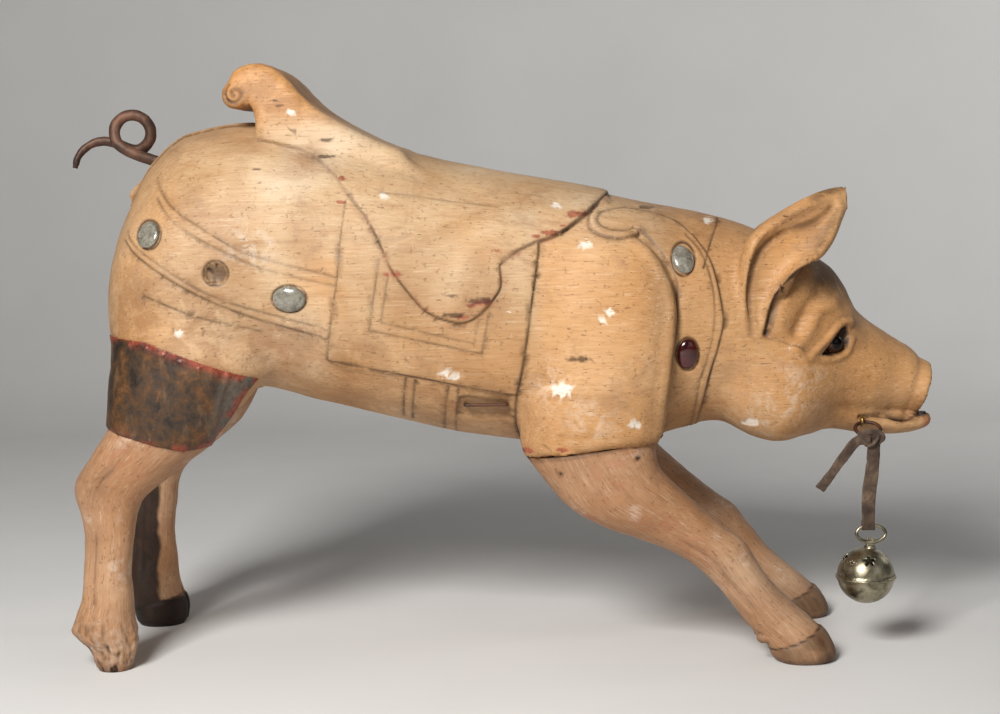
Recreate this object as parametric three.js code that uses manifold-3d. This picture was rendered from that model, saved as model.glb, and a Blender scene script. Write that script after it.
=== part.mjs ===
// Carousel pig: a stripped wooden carousel animal with carved saddle and trappings, an iron tail,
// glass eyes and jewels, a sheet-metal repair on one thigh and a bell on a leather thong.
// Millimetres, +Z up, head towards +X, the pig's right side towards -Y, soles on Z = 0.

import * as THREE from 'three';
import { mergeVertices } from 'three/addons/utils/BufferGeometryUtils.js';
import Module from 'manifold-3d';

const wasm = await Module();
wasm.setup();

// Driving sizes

const GAP = 0.3;                 // clearance between neighbouring pieces
const RIGHT = -1;                // sign of Y on the pig's right side
const LEFT = 1;

const FORE_LEG_Y = 100;          // distance of a fore leg from the middle plane
const HIND_LEG_Y = 104;
const LEFT_FORE_STRIDE = 22;     // the left hoofs stand a little ahead of the right ones
const LEFT_HIND_STRIDE = 8;
const HIND_JOINT_Z = 293;        // level where the hind legs are joined on
const FORE_JOINT = { x: 100, z: 242, slope: 7 };

const EAR_Y = 92;
const LEFT_EAR_MOVE = { x: 14, z: -9 };  // the left ear is carried further forward and lower
const EYE = { x: 376, z: 350, radius: 13.5, sunk: 8 };
const TAIL_RADIUS = 6.5;
const TAIL_TIP_RADIUS = 3.6;
const SLEEVE_SHEET = 1.3;        // thickness of the sheet metal on the right thigh

const CANTLE_HALF_WIDTH = 84;
const CANTLE_ROUNDING = 12;

// Jewels on the crupper band and on the collar, as places on the side of the body and half sizes
const BAND_FRONT_JEWEL = { x: -219, z: 416, across: 18, up: 14, thick: 7 };
const BAND_MIDDLE_SOCKET = { x: -297, z: 445, across: 13, up: 13, thick: 7 };
const BAND_REAR_JEWEL = { x: -371, z: 487, across: 13.5, up: 15, thick: 5 };
const COLLAR_UPPER_JEWEL = { x: 205, z: 447, across: 12.5, up: 17, thick: 6 };
const COLLAR_LOWER_JEWEL = { x: 208, z: 345, across: 12, up: 17, thick: 6 };

const STAPLE = { x: -12, z: 294, halfSpan: 22, standsOff: 5, wire: 2.2 };

// Bell gear at the right corner of the mouth
const SCREW_EYE = { x: 407, z: 258, radius: 5.6, wire: 1.5, shank: 14 };
const MOUTH_RING = { radius: 14, wire: 2, tilt: 25 };
const THONG = { width: 15, thick: 3, foldThick: 7, looseWidth: 11 };
const BELL_LOOP = { z: 135, halfWide: 16, halfHigh: 9.5, wire: 1.6 };
const BELL = { x: 407, z: 88, radius: 31.5, wall: 1.6, rim: 2.2, slot: 6 };

// Trunk from the rump to the root of the snout: x, top, bottom, half width
const TRUNK = [
  [-441, 427, 367, 42],
  [-432, 473, 327, 80],
  [-412, 521, 304, 107],
  [-386, 565, 298, 126],
  [-345, 595, 301, 140],
  [-280, 605, 307, 150],
  [-200, 593, 288, 154],
  [-110, 569, 265, 154],
  [-52, 554, 251, 152],
  [5, 542, 242, 150],
  [62, 531, 235, 147],
  [119, 520, 233, 141],
  [164, 509, 241, 132],
  [209, 500, 252, 120],
  [246, 491, 257, 112],
  [283, 479, 242, 106],
  [320, 461, 234, 98],
  [350, 447, 238, 88],
  [377, 431, 247, 76],
  [393, 410, 250, 66],
  [408, 379, 255, 58],
  [425, 359, 261, 51],
  [440, 348, 267, 45],
];

// Limbs as rows of x, z, lean of the ring in degrees, half depth, half width, sideways offset
const FORE_LEG = [
  [92, 317, 15, 66, 44, 6],
  [96, 275, 12, 74, 47, 3],
  [101, 241, 9, 71, 46, 0],
  [126, 199, 24, 55, 43, 0],
  [155, 175, 26, 47, 40, 0],
  [187, 156, 25, 39, 36, 0],
  [214, 140, 21, 34, 32, 0],
  [240, 122, 23, 31, 29, 0],
  [257, 100, 22, 26, 26, 0],
  [276, 77, 22, 25.5, 26, 0],
  [296, 54.1, 22, 28, 28, 0],
  [313, 36.7, 17, 31, 30, 0],
  [328, 20.2, 8, 34, 32, 0],
  [334, 6.4, 0, 34, 33, 0],
  [335, 0, 0, 31, 30, 0],
];
const HIND_LEG = [
  [-338, 400, -18, 76, 42, -14],
  [-340, 351, -17, 81, 50, -4],
  [-358, 306, -16, 71, 49, 0],
  [-378, 263, -16, 55, 44, 0],
  [-405, 233, -11, 48, 39, 0],
  [-430, 205, -10, 39, 33, 0],
  [-435, 179, 0, 31, 28, 0],
  [-437, 149, 0, 27, 25, 0],
  [-441, 113, 0, 26, 24, 0],
  [-442, 83, 0, 28.5, 26, 0],
  [-446, 59, 0, 33, 29, 0],
  [-446, 42.2, 0, 36, 31, 0],
  [-438, 23.8, 0, 33, 31, 0],
  [-437, 7.3, 0, 30, 30, 0],
  [-437, 0, 0, 27, 27, 0],
];
const EAR = [
  [285, 348, 178, 16, 20, -14],
  [283, 396, 164, 21, 22, -2],
  [303, 446, 155, 34, 24, 8],
  [328, 467, 148, 36, 20, 2],
  [356, 490, 134, 27, 14, -6],
  [387, 510, 96, 13, 4, -18],
];
const EAR_HOLLOW = [
  [286, 376, 170, 6, 8, 15],
  [285, 400, 164, 12, 12, 20],
  [304, 446, 154, 25, 17, 26],
  [328, 467, 148, 28, 14, 19],
  [355, 489, 134, 18, 9, 8],
  [374, 503, 116, 7, 4, -4],
];
const SNOUT = [
  [385, 320, 80, 62, 62, 0],
  [420, 311, 78, 50, 51, 0],
  [455, 300, 75, 40, 41, 0],
  [476, 292, 73, 31, 35, 0],
  [485, 289, 73, 27, 34, 0],
];
const LOWER_JAW = [
  [372, 280, 90, 34, 54, 0],
  [420, 257, 86, 19, 42, 0],
  [455, 251, 84, 14, 33, 0],
  [478, 251, 80, 11, 25, 0],
  [489, 253, 78, 6, 15, 0],
];

// Swellings carved on each side: centre x, y, z and half sizes along x, y, z
const SHOULDER = { at: [112, 98, 347], half: [78, 54, 116] };
const HAUNCH = { at: [-336, 92, 412], half: [84, 60, 110] };
const CHEEK = { at: [310, 56, 302], half: [54, 50, 60] };

// Colours read from the photograph
const COLOUR = {
  bareWood: { color: 0xc79a66, roughness: 0.62, metalness: 0 },
  legWood: { color: 0xa9714c, roughness: 0.66, metalness: 0 },
  rustyIron: { color: 0x4a3228, roughness: 0.7, metalness: 0.5 },
  sheetIron: { color: 0x5d4c42, roughness: 0.55, metalness: 0.6 },
  clearGlass: { color: 0xb9b8ae, roughness: 0.15, metalness: 0 },
  redGlass: { color: 0x5a1712, roughness: 0.12, metalness: 0 },
  eyeGlass: { color: 0x14100d, roughness: 0.06, metalness: 0 },
  brass: { color: 0xa5894c, roughness: 0.35, metalness: 1 },
  nickel: { color: 0x8d8671, roughness: 0.35, metalness: 0.9 },
  leather: { color: 0x5b3522, roughness: 0.75, metalness: 0 },
};

// Building blocks

function solid(geometry) {
  const bare = geometry.clone();
  bare.deleteAttribute('normal');
  bare.deleteAttribute('uv');
  const welded = mergeVertices(bare, 1e-4);
  const vertProperties = Float32Array.from(welded.attributes.position.array);
  const triVerts = Uint32Array.from(welded.index.array);
  return new wasm.Manifold(new wasm.Mesh({ numProp: 3, vertProperties, triVerts }));
}

function geometryOf(manifold) {
  const mesh = manifold.getMesh();
  const geometry = new THREE.BufferGeometry();
  geometry.setAttribute('position', new THREE.Float32BufferAttribute(mesh.vertProperties, 3));
  geometry.setIndex(new THREE.BufferAttribute(mesh.triVerts, 1));
  geometry.computeVertexNormals();
  return geometry;
}

function union(solids) {
  return solids.reduce((whole, next) => whole.add(next));
}

// A closed skin over rings of points, each ring a list of as many Vector3
function skin(rings) {
  const around = rings[0].length;
  const positions = rings.flat().flatMap((p) => [p.x, p.y, p.z]);
  const index = [];
  for (let i = 0; i < rings.length - 1; i++) {
    for (let k = 0; k < around; k++) {
      const a = i * around + k;
      const b = i * around + ((k + 1) % around);
      index.push(a, b, a + around, b, b + around, a + around);
    }
  }
  const ends = [rings[0], rings[rings.length - 1]];
  ends.forEach((ring, end) => {
    const middle = ring.reduce((sum, p) => sum.add(p), new THREE.Vector3()).divideScalar(around);
    const centre = positions.length / 3;
    positions.push(middle.x, middle.y, middle.z);
    const first = end === 0 ? 0 : (rings.length - 1) * around;
    for (let k = 0; k < around; k++) {
      const a = first + k;
      const b = first + ((k + 1) % around);
      index.push(...(end === 0 ? [b, a, centre] : [a, b, centre]));
    }
  });
  const geometry = new THREE.BufferGeometry();
  geometry.setAttribute('position', new THREE.Float32BufferAttribute(positions, 3));
  geometry.setIndex(index);
  return geometry;
}

// A ring across the middle plane: an ellipse squared up by its power, leaning in the XZ plane
function ring([x, z, lean, deep, wide, aside], y, side, power, around, grow) {
  const angle = THREE.MathUtils.degToRad(lean);
  const points = [];
  for (let k = 0; k < around; k++) {
    const turn = (2 * Math.PI * k) / around;
    const c = Math.cos(turn);
    const s = Math.sin(turn);
    const reach = (Math.abs(c) ** power + Math.abs(s) ** power) ** (-1 / power);
    const over = (wide + grow) * reach * c;
    const along = (deep + grow) * reach * s;
    const px = x + along * Math.cos(angle);
    const pz = z + along * Math.sin(angle);
    points.push(new THREE.Vector3(px, side * (y + aside) + over, pz));
  }
  return points;
}

function limb(rows, { y = 0, side = LEFT, power = 2.2, around = 14, grow = 0, stride = 0 }) {
  const top = rows[0][1];
  const fall = top - rows[rows.length - 1][1];
  const moved = rows.map(([x, z, ...rest]) => [x + (stride * (top - z)) / fall, z, ...rest]);
  const rings = moved.map((row) => ring(row, y, side, power, around, grow));
  return solid(skin(rings));
}

function ball([x, y, z], [a, b, c], grow = 0, around = 12, up = 7) {
  const geometry = new THREE.SphereGeometry(1, around, up);
  geometry.scale(a + grow, b + grow, c + grow);
  geometry.translate(x, y, z);
  return solid(geometry);
}

function onSide({ at, half }, side, grow) {
  return ball([at[0], side * at[1], at[2]], half, grow);
}

// A large block whose upper face is the plane through (x, z) with the given slope in degrees
function below(x, z, slope) {
  const block = new THREE.BoxGeometry(1000, 1000, 600);
  block.translate(0, 0, -300);
  block.rotateY(-THREE.MathUtils.degToRad(slope));
  block.translate(x, 0, z);
  return solid(block);
}

// A rod that follows points on a smooth curve, with a radius for each place along it
function rod(points, radiusAt, { along = 48, around = 8, flat = 1 } = {}) {
  const curve = new THREE.CatmullRomCurve3(points.map((p) => new THREE.Vector3(...p)));
  const frames = curve.computeFrenetFrames(along, false);
  const rings = [];
  for (let i = 0; i <= along; i++) {
    const centre = curve.getPointAt(i / along);
    const radius = radiusAt(i / along);
    const points3 = [];
    for (let k = 0; k < around; k++) {
      const turn = (2 * Math.PI * k) / around;
      const p = centre.clone();
      p.addScaledVector(frames.normals[i], radius * Math.cos(turn));
      p.addScaledVector(frames.binormals[i], flat * radius * Math.sin(turn));
      points3.push(p);
    }
    rings.push(points3);
  }
  return skin(rings);
}

// Wooden parts

function trunk(grow = 0) {
  const rows = TRUNK.map(([x, top, bottom, wide]) => [x, (top + bottom) / 2, 90, (top - bottom) / 2, wide, 0]);
  const rings = rows.map((row) => ring(row, 0, LEFT, 2.25, 24, grow));
  return solid(skin(rings));
}

// The saddle's raised back, rolled over into a scroll behind
function cantle(grow = 0) {
  const roll = { x: -283, z: 638, radius: 16 };
  const outline = new THREE.Shape();
  outline.moveTo(-80, 545);
  outline.lineTo(-104, 568);
  outline.quadraticCurveTo(-172, 592, -214, 640);
  outline.quadraticCurveTo(-238, 671, -261, 672);
  outline.quadraticCurveTo(-278, 671, -288, 662);
  outline.absarc(roll.x, roll.z, roll.radius, Math.PI * 0.72, Math.PI * 1.8, false);
  outline.quadraticCurveTo(-257, 615, -256, 580);
  outline.lineTo(-240, 548);
  outline.closePath();
  const depth = 2 * (CANTLE_HALF_WIDTH - CANTLE_ROUNDING);
  const geometry = new THREE.ExtrudeGeometry(outline, {
    depth,
    curveSegments: 4,
    bevelSegments: 1,
    bevelThickness: CANTLE_ROUNDING + grow,
    bevelSize: CANTLE_ROUNDING / 2 + grow,
    bevelOffset: -CANTLE_ROUNDING / 2,
  });
  geometry.translate(0, 0, -depth / 2);
  geometry.rotateX(Math.PI / 2);
  return solid(geometry);
}

function ear(side, grow = 0) {
  const leaf = limb(EAR, { y: EAR_Y, side, around: 10, grow });
  const hollow = limb(EAR_HOLLOW, { y: EAR_Y, side, around: 10, grow: -grow });
  const move = side === LEFT ? LEFT_EAR_MOVE : { x: 0, z: 0 };
  return leaf.subtract(hollow).translate(move.x, 0, move.z);
}

function foreLeg(side, grow = 0) {
  const stride = side === LEFT ? LEFT_FORE_STRIDE : 0;
  return limb(FORE_LEG, { y: FORE_LEG_Y, side, around: 12, grow, stride });
}

function hindLeg(side, grow = 0) {
  const stride = side === LEFT ? LEFT_HIND_STRIDE : 0;
  return limb(HIND_LEG, { y: HIND_LEG_Y, side, grow, stride });
}

function belowForeJoint(lift = 0) {
  return below(FORE_JOINT.x, FORE_JOINT.z + lift, FORE_JOINT.slope);
}

function belowHindJoint(lift = 0) {
  return below(-350, HIND_JOINT_Z + lift, 0);
}

// The body with the roots of the four legs, before eyes and jewels are let in
function body(grow = 0) {
  const sides = [RIGHT, LEFT].flatMap((side) => [
    onSide(SHOULDER, side, grow).subtract(belowForeJoint()),
    onSide(HAUNCH, side, grow).subtract(belowHindJoint()),
    onSide(CHEEK, side, grow),
    ear(side, grow),
    foreLeg(side, grow).subtract(belowForeJoint()),
    hindLeg(side, grow).subtract(belowHindJoint()),
  ]);
  const face = [limb(SNOUT, { power: 2, grow }), limb(LOWER_JAW, { around: 12, power: 2, grow })];
  return union([trunk(grow), cantle(grow), ...face, ...sides]);
}

function foreLegPiece(side) {
  return foreLeg(side).intersect(belowForeJoint(-GAP)).subtract(trunk(GAP));
}

function hindLegPiece(side) {
  return hindLeg(side).intersect(belowHindJoint(-GAP)).subtract(trunk(GAP));
}

// Where a line across the pig at (x, z) meets its side, and which way the surface faces there
function placeOnSide(mesh, { x, z }, side) {
  const from = new THREE.Vector3(x, side * 400, z);
  const caster = new THREE.Raycaster(from, new THREE.Vector3(0, -side, 0));
  const hit = caster.intersectObject(mesh)[0];
  return { point: hit.point, facing: hit.face.normal.clone() };
}

// An oval stone half sunk in the surface
function stone({ point, facing }, { across, up, thick }, grow = 0) {
  const geometry = new THREE.SphereGeometry(1, 10, 4);
  geometry.rotateX(Math.PI / 2);
  geometry.scale(across + grow, up + grow, thick + grow);
  geometry.applyMatrix4(new THREE.Matrix4().lookAt(facing, new THREE.Vector3(), new THREE.Vector3(0, 0, 1)));
  geometry.translate(point.x, point.y, point.z);
  return solid(geometry);
}

// Metal, glass and leather parts

// Iron rod let into the rump, curled once round and drawn out to a point
function tail(grow = 0) {
  const curl = { x: -416, z: 600, radius: 20 };
  const turns = 9;
  const points = [[-362, 0, 553], [-388, -2, 566], [-410, -6, 574]];
  for (let k = 0; k <= turns; k++) {
    const angle = THREE.MathUtils.degToRad(225 - (320 * k) / turns);
    const aside = -7 + (16 * k) / turns;
    points.push([curl.x + curl.radius * Math.cos(angle), aside, curl.z + curl.radius * Math.sin(angle)]);
  }
  points.push([-440, 11, 589], [-456, 9, 591], [-471, 6, 585], [-481, 3, 574], [-485, 2, 561]);
  const thins = 0.72;
  const taper = (t) => THREE.MathUtils.mapLinear(Math.max(t, thins), thins, 1, TAIL_RADIUS, TAIL_TIP_RADIUS);
  return solid(rod(points, (t) => taper(t) + grow, { along: 32, around: 7 }));
}

// Sheet metal bent round the outside of the right thigh, over the leg's joint
function sleeve() {
  const outline = new THREE.Shape([
    [-450, 378], [-417, 376], [-377, 372], [-349, 361], [-294, 339], [-262, 327],
    [-321, 253], [-347, 251], [-413, 267], [-450, 275],
  ].map(([x, z]) => new THREE.Vector2(x, z)));
  const innerEdge = 100;
  const geometry = new THREE.ExtrudeGeometry(outline, { depth: 120, bevelEnabled: false });
  geometry.rotateX(Math.PI / 2);
  geometry.translate(0, -innerEdge, 0);
  const thigh = (grow) => union([trunk(grow), onSide(HAUNCH, RIGHT, grow), hindLeg(RIGHT, grow)]);
  return thigh(GAP + SLEEVE_SHEET).subtract(thigh(GAP)).intersect(solid(geometry));
}

// Flat iron staple at the end of the girth, its two legs driven into the wood
function staple({ point, facing }, grow = 0) {
  const legs = [-1, 1].map((end) => end * STAPLE.halfSpan);
  const out = point.clone().addScaledVector(facing, STAPLE.standsOff);
  const inside = point.clone().addScaledVector(facing, -STAPLE.standsOff);
  const bend = 4;
  const points = [
    [inside.x + legs[0], inside.y, inside.z], [out.x + legs[0], out.y, out.z],
    [out.x + legs[0] + bend, out.y, out.z], [out.x + legs[1] - bend, out.y, out.z],
    [out.x + legs[1], out.y, out.z], [inside.x + legs[1], inside.y, inside.z],
  ];
  return solid(rod(points, () => STAPLE.wire + grow, { along: 16, around: 5 }));
}

function torus(radius, wire, at, turn = new THREE.Euler()) {
  const geometry = new THREE.TorusGeometry(radius, wire, 5, 14);
  geometry.applyMatrix4(new THREE.Matrix4().makeRotationFromEuler(turn));
  geometry.translate(at.x, at.y, at.z);
  return solid(geometry);
}

// Brass eye screwed into the corner of the mouth, its ring standing upright along Y
function screwEye(at, grow = 0) {
  const shank = new THREE.CylinderGeometry(SCREW_EYE.wire + grow, SCREW_EYE.wire + grow, SCREW_EYE.shank, 6);
  shank.translate(at.x, at.y + SCREW_EYE.radius + SCREW_EYE.shank / 2 - 0.5, at.z);
  const loop = torus(SCREW_EYE.radius, SCREW_EYE.wire + grow, at, new THREE.Euler(0, Math.PI / 2, 0));
  return loop.add(solid(shank));
}

function mouthRing(at, grow = 0) {
  const tilt = THREE.MathUtils.degToRad(MOUTH_RING.tilt);
  return torus(MOUTH_RING.radius, MOUTH_RING.wire + grow, at, new THREE.Euler(tilt, 0, 0));
}

// A flat strap along a route in a plane of constant Y, its width across the route in that plane
function strap(points, width, thick, along = 6) {
  const curve = new THREE.CatmullRomCurve3(points);
  const corners = [[1, 1], [-1, 1], [-1, -1], [1, -1]];
  const rings = [];
  for (let i = 0; i <= along; i++) {
    const centre = curve.getPointAt(i / along);
    const tangent = curve.getTangentAt(i / along);
    const face = new THREE.Vector3(0, -1, 0);
    const across = face.clone().cross(tangent).normalize();
    rings.push(corners.map(([u, v]) => centre.clone()
      .addScaledVector(across, (u * width) / 2)
      .addScaledVector(face, (v * thick) / 2)));
  }
  return solid(skin(rings));
}

// Leather thong knotted round the front of the mouth ring: a long strap down to the bell, a short loose end
function thong(y) {
  const at = (x, z, aside = 0) => new THREE.Vector3(x, y + aside, z);
  const hanging = [at(415, 246), at(416, 232), at(415, 212), at(412, 190), at(410, 168), at(410, 139)];
  const loose = [at(412, 240, -3), at(397, 240, -4), at(381, 222, -5), at(368, 204, -6), at(355, 187, -7)];
  const folded = [at(410, 170), at(410, 139)];
  const knot = ball([414, y, 242], [15, 7, 9], 0, 8, 5);
  return union([
    strap(hanging, THONG.width, THONG.thick),
    strap(folded, THONG.width, THONG.foldThick, 1),
    strap(loose, THONG.looseWidth, THONG.thick),
    knot,
  ]);
}

function bellLoop(y, grow = 0) {
  const geometry = new THREE.TorusGeometry(1, (BELL_LOOP.wire + grow) / BELL_LOOP.halfHigh, 5, 16);
  geometry.rotateX(Math.PI / 2);
  geometry.scale(BELL_LOOP.halfWide, BELL_LOOP.halfHigh, BELL_LOOP.halfHigh);
  geometry.translate(BELL.x + 6, y, BELL_LOOP.z);
  return solid(geometry);
}

// Hollow round bell: a belt round its middle, a slot below and star holes above
function bell(y) {
  const { x, z, radius, wall, rim, slot } = BELL;
  const outer = ball([x, y, z], [radius, radius, radius], 0, 14, 8);
  const hollow = ball([x, y, z], [radius, radius, radius], -wall, 14, 8);
  const belt = new THREE.CylinderGeometry(radius + rim, radius + rim, 3, 14);
  belt.rotateX(Math.PI / 2);
  belt.translate(x, y, z - 2);
  const mouth = new THREE.BoxGeometry(44, slot, 40);
  mouth.translate(x, y, z - radius);
  const stem = new THREE.BoxGeometry(10, 5, 13);
  stem.translate(x + 5, y, z + radius + 4.5);
  const holes = [0, 90, 180, 270].map((turn) => {
    const punch = new THREE.CylinderGeometry(4.5, 4.5, 24, 5);
    punch.translate(0, radius, 0);
    punch.rotateX(THREE.MathUtils.degToRad(138));
    punch.rotateZ(THREE.MathUtils.degToRad(turn));
    punch.translate(x, y, z);
    return solid(punch);
  });
  const shell = union([outer, solid(belt), solid(stem)]).subtract(hollow);
  return shell.subtract(union([solid(mouth), ...holes]));
}

// Assembly

const pig = new THREE.Group();
pig.name = 'carousel_pig';

function addPart(name, manifold, finish) {
  const mesh = new THREE.Mesh(geometryOf(manifold), new THREE.MeshStandardMaterial(finish));
  mesh.name = name;
  pig.add(mesh);
}

const roughBody = body();
const bodySide = new THREE.Mesh(geometryOf(roughBody), new THREE.MeshBasicMaterial());
const letIn = [];                // what is cut out of the body for the pieces set into it

function setStone(name, spec, side, finish) {
  const place = placeOnSide(bodySide, spec, side);
  letIn.push(stone(place, spec, GAP));
  addPart(name, stone(place, spec), finish);
}

for (const [side, word] of [[RIGHT, 'right'], [LEFT, 'left']]) {
  const { point } = placeOnSide(bodySide, EYE, side);
  const at = [EYE.x, point.y - side * EYE.sunk, EYE.z];
  const half = [EYE.radius, EYE.radius, EYE.radius];
  letIn.push(ball(at, half, GAP, 12, 6));
  addPart(`${word}_eye`, ball(at, half, 0, 12, 6), COLOUR.eyeGlass);
  setStone(`${word}_collar_upper_jewel`, COLLAR_UPPER_JEWEL, side, COLOUR.clearGlass);
  setStone(`${word}_collar_lower_jewel`, COLLAR_LOWER_JEWEL, side, COLOUR.redGlass);
  setStone(`${word}_crupper_front_jewel`, BAND_FRONT_JEWEL, side, COLOUR.clearGlass);
  setStone(`${word}_crupper_rear_jewel`, BAND_REAR_JEWEL, side, COLOUR.clearGlass);
}
// The middle jewel of the right band is lost, its socket is empty
letIn.push(stone(placeOnSide(bodySide, BAND_MIDDLE_SOCKET, RIGHT), BAND_MIDDLE_SOCKET));
setStone('left_crupper_middle_jewel', BAND_MIDDLE_SOCKET, LEFT, COLOUR.clearGlass);

const staplePlace = placeOnSide(bodySide, STAPLE, RIGHT);
letIn.push(staple(staplePlace, GAP));
addPart('girth_staple', staple(staplePlace), COLOUR.rustyIron);

letIn.push(tail(GAP));
addPart('iron_tail', tail(), COLOUR.rustyIron);

const mouthCorner = placeOnSide(bodySide, SCREW_EYE, RIGHT).point;
const eyeAt = mouthCorner.clone().add(new THREE.Vector3(0, -SCREW_EYE.radius - SCREW_EYE.wire, 0));
letIn.push(screwEye(eyeAt, GAP));
addPart('mouth_screw_eye', screwEye(eyeAt), COLOUR.brass);

const ringBack = 110;            // place on the ring, in degrees from +X, that hangs in the screw eye
const ringTurn = new THREE.Vector3(MOUTH_RING.radius, 0, 0)
  .applyAxisAngle(new THREE.Vector3(0, 0, 1), THREE.MathUtils.degToRad(ringBack))
  .applyAxisAngle(new THREE.Vector3(1, 0, 0), THREE.MathUtils.degToRad(MOUTH_RING.tilt));
const ringAt = eyeAt.clone().sub(ringTurn).add(new THREE.Vector3(0, 0, -1.5));
addPart('mouth_ring', mouthRing(ringAt), COLOUR.rustyIron);

const bellY = ringAt.y - MOUTH_RING.radius;
const cutForThong = mouthRing(ringAt, GAP).add(bellLoop(bellY, GAP));
addPart('leather_thong', thong(bellY).subtract(cutForThong), COLOUR.leather);
addPart('bell_loop', bellLoop(bellY), COLOUR.rustyIron);
addPart('bell', bell(bellY).subtract(bellLoop(bellY, GAP)), COLOUR.nickel);

addPart('pig_body', roughBody.subtract(union(letIn)), COLOUR.bareWood);
addPart('right_fore_leg', foreLegPiece(RIGHT), COLOUR.legWood);
addPart('left_fore_leg', foreLegPiece(LEFT), COLOUR.legWood);
addPart('right_hind_leg', hindLegPiece(RIGHT), COLOUR.legWood);
addPart('left_hind_leg', hindLegPiece(LEFT), COLOUR.legWood);
addPart('thigh_sleeve', sleeve(), COLOUR.sheetIron);

export default pig;
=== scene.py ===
"""A carved carousel pig, stripped of most of its paint, with an iron tail, glass eyes and jewels, a
sheet-metal repair on one thigh and a bell on a leather thong. The forms are worked out in millimetres,
with the head towards +X, the pig's right side towards -Y and the soles on Z = 0, and become meshes in
metres in the same frame."""

import math

import bpy
import numpy as np
from mathutils import Matrix, Vector


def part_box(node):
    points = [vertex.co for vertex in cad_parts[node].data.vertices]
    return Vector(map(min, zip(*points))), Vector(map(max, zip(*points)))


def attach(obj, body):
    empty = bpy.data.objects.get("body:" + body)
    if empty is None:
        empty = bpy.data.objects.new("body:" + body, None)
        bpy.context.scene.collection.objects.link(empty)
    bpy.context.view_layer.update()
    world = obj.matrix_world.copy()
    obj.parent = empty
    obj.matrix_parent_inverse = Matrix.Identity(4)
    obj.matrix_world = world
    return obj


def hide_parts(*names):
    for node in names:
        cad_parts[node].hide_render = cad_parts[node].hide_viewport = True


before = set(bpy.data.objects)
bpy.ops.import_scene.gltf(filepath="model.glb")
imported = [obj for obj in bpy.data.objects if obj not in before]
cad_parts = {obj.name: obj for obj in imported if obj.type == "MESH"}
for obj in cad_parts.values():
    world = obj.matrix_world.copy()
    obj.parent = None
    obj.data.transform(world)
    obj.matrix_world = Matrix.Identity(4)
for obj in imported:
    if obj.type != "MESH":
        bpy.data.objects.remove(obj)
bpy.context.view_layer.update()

MM = 0.001
RIGHT = -1
LEFT = 1
FAR = 60.0                      # a distance that no longer matters, in millimetres

# Driving sizes of the wooden forms

FORE_LEG_Y = 100
HIND_LEG_Y = 104
LEFT_FORE_STRIDE = 22
LEFT_HIND_STRIDE = 8
HIND_JOINT_Z = 293
FORE_JOINT_X = 100
FORE_JOINT_Z = 242
FORE_JOINT_SLOPE = math.radians(7)
EAR_Y = 92
LEFT_EAR_MOVE = np.array([14.0, 0.0, -9.0])
EYE_X = 376
EYE_Z = 350
EYE_RADIUS = 12.5
EYE_INSET = 10.5
CANTLE_HALF_WIDTH = 84

# Trunk from the rump to the root of the snout: x, top, bottom, half width
TRUNK = np.array([
    [-447, 402, 392, 8], [-441, 427, 367, 42], [-432, 473, 327, 80], [-412, 521, 304, 107],
    [-386, 565, 298, 126], [-345, 595, 301, 140], [-280, 605, 307, 150], [-200, 593, 288, 154],
    [-110, 569, 265, 154], [-52, 554, 251, 152], [5, 542, 242, 150], [62, 531, 235, 147],
    [119, 520, 233, 141], [164, 509, 241, 132], [209, 500, 252, 120], [246, 491, 257, 112],
    [283, 479, 242, 106], [320, 461, 234, 98], [350, 447, 238, 88], [377, 431, 247, 76],
    [393, 410, 250, 66], [408, 379, 255, 58], [425, 359, 261, 51], [440, 348, 267, 45],
], float)

# Limbs as rows of x, z, lean of the ring in degrees, half depth, half width, sideways offset
FORE_ROOT = [
    [92, 317, 15, 66, 44, 6], [96, 275, 12, 74, 47, 3], [101, 241, 9, 71, 46, 0], [126, 199, 24, 55, 43, 0],
]
FORE_LEG = [
    [101, 241.5, 7, 71, 46, 0], [126, 199, 24, 55, 43, 0], [155, 175, 26, 47, 40, 0],
    [187, 156, 25, 39, 36, 0], [214, 140, 21, 34, 32, 0], [240, 122, 23, 31, 29, 0],
    [257, 100, 22, 26, 26, 0], [276, 77, 22, 25.5, 26, 0], [296, 54.1, 22, 28, 28, 0],
    [313, 36.7, 17, 31, 30, 0], [328, 20.2, 8, 34, 32, 0], [334, 6.4, 0, 34, 33, 0], [335, 0, 0, 31, 30, 0],
]
HIND_ROOT = [
    [-338, 400, -18, 76, 42, -14], [-340, 351, -17, 81, 50, -4], [-358, 306, -16, 71, 49, 0],
    [-378, 263, -16, 55, 44, 0],
]
HIND_LEG = [
    [-363, 292.5, 0, 64, 48, 0], [-378, 263, -12, 55, 44, 0], [-405, 233, -11, 48, 39, 0],
    [-430, 205, -10, 39, 33, 0], [-435, 179, 0, 31, 28, 0], [-437, 149, 0, 27, 25, 0],
    [-441, 113, 0, 26, 24, 0], [-442, 83, 0, 28.5, 26, 0], [-446, 59, 0, 33, 29, 0],
    [-446, 42.2, 0, 36, 31, 0], [-438, 23.8, 0, 33, 31, 0], [-437, 7.3, 0, 30, 30, 0],
    [-437, 0, 0, 27, 27, 0],
]
EAR = [
    [285, 348, 178, 16, 20, -14], [283, 396, 164, 21, 22, -2], [303, 446, 155, 34, 24, 8],
    [328, 467, 148, 36, 20, 2], [356, 490, 134, 27, 14, -6], [387, 510, 96, 13, 4, -18],
]
EAR_HOLLOW = [
    [286, 376, 170, 6, 8, 15], [285, 400, 164, 12, 12, 20], [304, 446, 154, 25, 17, 26],
    [328, 467, 148, 28, 14, 19], [355, 489, 134, 18, 9, 8], [374, 503, 116, 7, 4, -4],
]
SNOUT = [
    [385, 320, 80, 62, 62, 0], [420, 311, 78, 50, 51, 0], [455, 300, 75, 40, 41, 0],
    [476, 292, 73, 31, 35, 0], [485, 289, 73, 27, 34, 0],
]
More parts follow.
